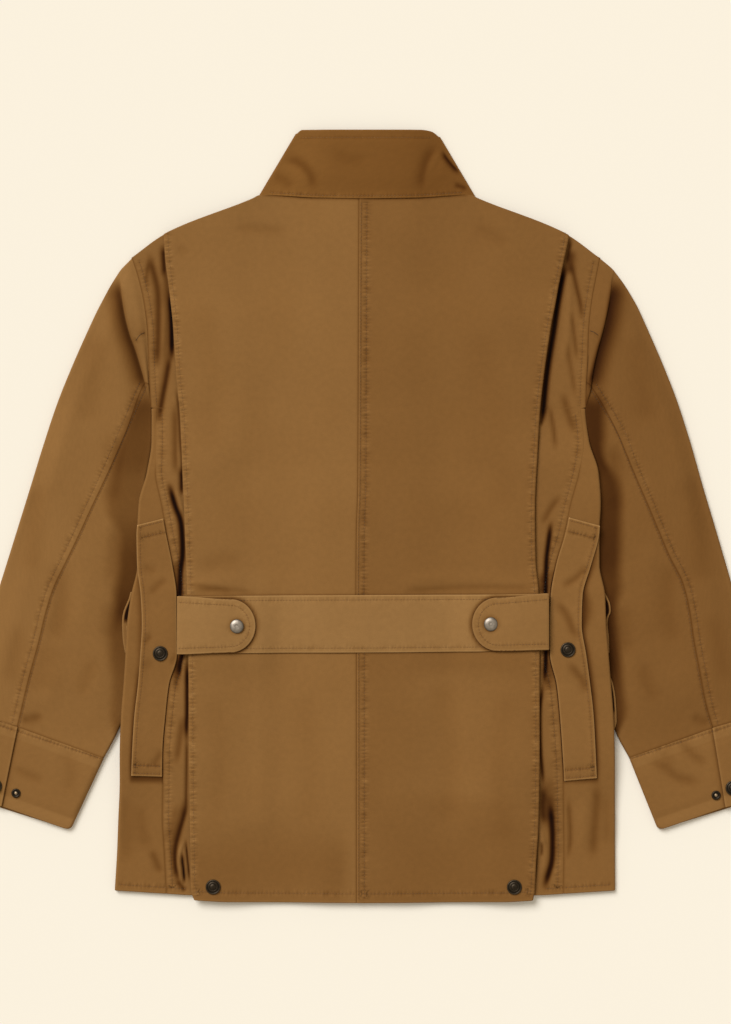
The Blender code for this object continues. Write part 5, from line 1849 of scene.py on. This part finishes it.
def dress(tree, linked, plain):
    """Sets sockets of the material's shader: outputs to link to them, and plain values."""
    inputs = tree.nodes["Principled BSDF"].inputs
    for name, output in linked.items():
        tree.links.new(output, inputs[name])
    for name, value in plain.items():
        inputs[name].default_value = value


def texture_noise(tree, place, scale, detail=2.0):
    return make_node(tree, "ShaderNodeTexNoise", (("Vector", place), ("Scale", scale), ("Detail", detail)))


def threads(tree, place, angle, pitch, waver):
    """Lines of thread across the cloth at an angle in degrees."""
    rotation = (0, 0, math.radians(angle))
    turned = make_node(tree, "ShaderNodeMapping", (("Vector", place), ("Rotation", rotation)))
    scale = 2 * math.pi / 20 / pitch
    detail = (("Detail", 1.0), ("Detail Scale", 0.4))
    inputs = (("Vector", turned), ("Scale", scale), ("Distortion", waver), *detail)
    return make_node(tree, "ShaderNodeTexWave", inputs, "Fac")


def pucker_noise(tree):
    """Fine gathers along the stitch rows, as strong as each place's puckers."""
    place = attribute(tree, "pucker")
    along = make_node(tree, "ShaderNodeSeparateXYZ", ((0, place),), "X")
    strength = make_node(tree, "ShaderNodeSeparateXYZ", ((0, place),), "Z")
    uneven = texture_noise(tree, vectors_multiplied(tree, place, (1, 1, 0)), 1.0, 0.3)
    shifted = math_node(tree, "MULTIPLY_ADD", along, RUNGS, math_node(tree, "MULTIPLY", uneven, 7.0))
    rungs = math_node(tree, "SINE", shifted)
    lumps = math_node(tree, "MULTIPLY_ADD", rungs, 0.12, ripple(tree, uneven, 0.8))
    return math_node(tree, "MULTIPLY", lumps, strength)


def make_twill(name, colour, cloud_amount=0.14):
    """Cotton twill: slanting ribs over fine threads, with faded and darker places."""
    material, tree, place = new_material(name)
    ribs = threads(tree, place, RIB_ANGLE, RIB_PITCH, 0.6)
    weft = threads(tree, place, WEFT_ANGLE, WEFT_PITCH, 0.8)
    cloud = texture_noise(tree, place, CLOUD_SCALE, 3.0)
    lumps = texture_noise(tree, place, LUMP_SCALE)
    flecks = texture_noise(tree, place, FLECK_SCALE)
    gathered = pucker_noise(tree)
    ripples = ((cloud, cloud_amount), (lumps, 0.16), (flecks, 0.26), (ribs, 0.10), (weft, 0.05))
    # painted light and shade on the fine gathers, besides their bump
    in_gathers = math_node(tree, "MULTIPLY", gathered, GATHER_SHADE)
    shade = total(tree, 1.0, *(ripple(tree, *pair) for pair in ripples), in_gathers)
    # the tone attribute carries the piece's painted light and shade
    base = scaled(tree, vectors_multiplied(tree, attribute(tree, "tone"), colour), shade)
    rough = total(tree, CLOTH_ROUGHNESS, ripple(tree, cloud, 0.08), ripple(tree, flecks, 0.10))
    height = total(tree, ripple(tree, ribs, 1.0), ripple(tree, weft, 0.45), ripple(tree, flecks, 1.1))
    coarse = bump(tree, gathered, 1.0, GATHER_DEPTH)
    fine = bump(tree, height, WEAVE_STRENGTH, WEAVE_DEPTH, ("Normal", coarse))
    dress(tree, {"Base Color": base, "Roughness": rough, "Normal": fine}, CLOTH_GLOSS)
    return material


def make_thread(name, colour):
    """Sewing thread with a slight gloss and a twist."""
    material, tree, place = new_material(name)
    twist = threads(tree, place, TWIST_ANGLE, TWIST_PITCH, 0.3)
    shade = total(tree, 1.0, ripple(tree, twist, 0.25), ripple(tree, texture_noise(tree, place, 40.0), 0.2))
    shade = math_node(tree, "MULTIPLY", shade, attribute(tree, "tone", "Fac"))
    dress(tree, {"Base Color": scaled(tree, colour, shade)}, {"Roughness": THREAD_ROUGHNESS})
    return material


def make_metal(name, colour, roughness, wear):
    """Pressed metal with a dull, blotchy finish; its tone paints a highlight on its rims and shade in its
    grooves.
    """
    material, tree, place = new_material(name)
    blotches = texture_noise(tree, place, BLOTCH_SCALE, 4.0)
    pits = texture_noise(tree, place, PIT_SCALE, 3.0)
    shade = total(tree, 1.0, ripple(tree, blotches, wear), ripple(tree, pits, wear / 2))
    shade = math_node(tree, "MULTIPLY", shade, attribute(tree, "tone", "Fac"))
    linked = {
        "Base Color": scaled(tree, colour, shade),
        "Roughness": total(tree, roughness, ripple(tree, blotches, 0.3)),
        "Normal": bump(tree, pits, PIT_STRENGTH, PIT_DEPTH),
    }
    dress(tree, linked, {"Metallic": 0.85})
    return material


# ---- stage: places in metres ----

FLOOR_REACH = 6.0
FLOOR_LEVEL = -0.0006
FLOOR_GLOW = (0.06, 0.055, 0.05, 1)
FLOOR_COLOUR = (0.885, 0.85, 0.775, 1)
KEY_PLACE = (-2.6, 3.5, 4.9)
KEY_WIDTH = 0.6  # radians of sky that it takes up
KEY_POWER = 2.39
KEY_COLOUR = (1.0, 0.985, 0.96)
AMBIENT = (1.0, 0.90, 0.72, 1)
AMBIENT_STRENGTH = 0.46
AMBIENT_SEEN = 0.45  # how much brighter the camera sees it
CAMERA_PLACE = (0.0001, 0.0046, 3.138)  # straight above the jacket, level with its middle
CAMERA_LENS = 100
CAMERA_SENSOR = 36


def camera_only(tree, strength):
    """A strength that only the camera sees, so that the stage doesn't light the jacket."""
    seen = make_node(tree, "ShaderNodeLightPath", output="Is Camera Ray")
    return math_node(tree, "MULTIPLY", seen, strength)


def add_floor():
    """Pale table. Part of its brightness is its own, so that shadows on it stay faint."""
    mesh = bpy.data.meshes.new("floor")
    corners = ((-1, -1), (1, -1), (1, 1), (-1, 1))
    points = [(FLOOR_REACH * x, FLOOR_REACH * y, FLOOR_LEVEL) for x, y in corners]
    mesh.from_pydata(points, [], [(0, 1, 2, 3)])
    material = bpy.data.materials.new("pale_floor")
    material.use_nodes = True
    tree = material.node_tree
    tree.nodes.remove(tree.nodes["Principled BSDF"])
    seen = camera_only(tree, 1.0)
    glow = make_node(tree, "ShaderNodeEmission", (("Color", FLOOR_GLOW), ("Strength", seen)))
    plain = make_node(tree, "ShaderNodeBsdfDiffuse", (("Color", FLOOR_COLOUR),))
    both = make_node(tree, "ShaderNodeAddShader", ((0, glow), (1, plain)))
    tree.links.new(both, tree.nodes["Material Output"].inputs["Surface"])
    mesh.materials.append(material)
    floor = add_to_scene("floor", mesh)
    floor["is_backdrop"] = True


def add_light():
    """A large window high to the upper left, and even light from all round."""
    lamp = bpy.data.lights.new("window", "SUN")
    lamp.angle = KEY_WIDTH
    lamp.energy = KEY_POWER
    lamp.color = KEY_COLOUR
    light = add_to_scene("window", lamp)
    light.location = KEY_PLACE
    light.rotation_euler = (-Vector(KEY_PLACE)).to_track_quat("-Z", "Y").to_euler()
    world = bpy.data.worlds.new("room")
    bpy.context.scene.world = world
    world.use_nodes = True
    tree = world.node_tree
    background = tree.nodes["Background"]
    background.inputs["Color"].default_value = AMBIENT
    strength = total(tree, AMBIENT_STRENGTH, camera_only(tree, AMBIENT_SEEN))
    tree.links.new(strength, background.inputs["Strength"])


def add_camera():
    lens = bpy.data.cameras.new("camera")
    lens.lens = CAMERA_LENS
    lens.sensor_width = CAMERA_SENSOR
    lens.sensor_fit = "AUTO"
    camera = add_to_scene("camera", lens)
    camera.location = CAMERA_PLACE
    bpy.context.scene.camera = camera
    bpy.context.scene.view_settings.view_transform = "Standard"


# ---- assembly ----


def declare_sheets(pieces):
    """Measures the flat size of each cloth piece."""
    for node, piece in pieces.items():
        width, length, area = measured(piece)


def measured(piece):
    """Width, length and area of a piece along the cloth, in metres."""
    area = sum(face.area for face in piece.data.polygons) / 2
    grain = np.zeros(3 * len(piece.data.vertices), np.float32)
    piece.data.attributes["cloth"].data.foreach_get("vector", grain)
    grain = grain.reshape(-1, 3)
    span = grain.max(axis=0) - grain.min(axis=0)
    return float(span[0]), float(max(span[1], area / span[0])), float(area)


def add_cloths():
    """All cloth pieces by node."""
    twill = make_twill("body_twill_cloth", BODY_COLOUR)
    collar_twill = make_twill("collar_twill_cloth", COLLAR_COLOUR)
    belt_twill = make_twill("belt_twill_cloth", BELT_COLOUR, cloud_amount=0.06)
    pieces = {}
    for side in SIDES:
        for name, add_piece in (
            ("back", add_back),
            ("side_back", add_side_back),
            ("front", add_front),
            ("welt", add_welt),
        ):
            pieces[f"{name}_{side}"] = add_piece(side, twill)
        for name, end in (("sleeve_upper", "outer"), ("sleeve_under", "inner")):
            node = f"{name}_{side}"
            pieces[node] = add_sleeve_part(node, side, end, twill)
        pieces[f"cuff_{side}"] = add_cuff(side, twill)
        pieces[f"belt_tab_{side}"] = add_belt_tab(side, belt_twill)
        pieces |= add_pocket(side, twill)
    pieces["front_placket"] = add_placket(twill)
    pieces["belt"] = add_belt(belt_twill)
    pieces["collar"] = add_collar(collar_twill)
    return pieces


def add_snaps(surfaces):
    gunmetal = make_metal("gunmetal", GUNMETAL, roughness=0.42, wear=0.9)
    silver = make_metal("antique_silver", SILVER, roughness=0.40, wear=0.6)
    for node in SNAPS:
        _, place, side = node.split("_")
        add_snap(node, surfaces[f"{SNAP_UNDER[place]}_{side}"], silver if place == "tab" else gunmetal)


def main():
    before = [list(corner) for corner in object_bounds()]
    add_camera()
    add_light()
    add_floor()
    pieces = add_cloths()
    thread = make_thread("brown_thread", THREAD_COLOUR)
    surfaces = {node: surface_of(pieces[node]) for node in SEAM_ROWS}
    threads_of = {
        node: add_stitches(node, pieces[node], surfaces[node], rows, thread)
        for node, rows in SEAM_ROWS.items()
    }
    add_snaps(surfaces)
    declare_sheets(pieces)
    after = [list(corner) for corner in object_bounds()]


with open("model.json") as file:
    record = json.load(file)
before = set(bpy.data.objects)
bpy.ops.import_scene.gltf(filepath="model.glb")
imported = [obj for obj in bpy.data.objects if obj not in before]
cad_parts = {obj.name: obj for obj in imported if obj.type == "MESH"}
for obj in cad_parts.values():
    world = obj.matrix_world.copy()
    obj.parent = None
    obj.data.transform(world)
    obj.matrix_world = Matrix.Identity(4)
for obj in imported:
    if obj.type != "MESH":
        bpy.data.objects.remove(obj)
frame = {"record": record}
SEAM_ROWS = all_seam_rows()
main()
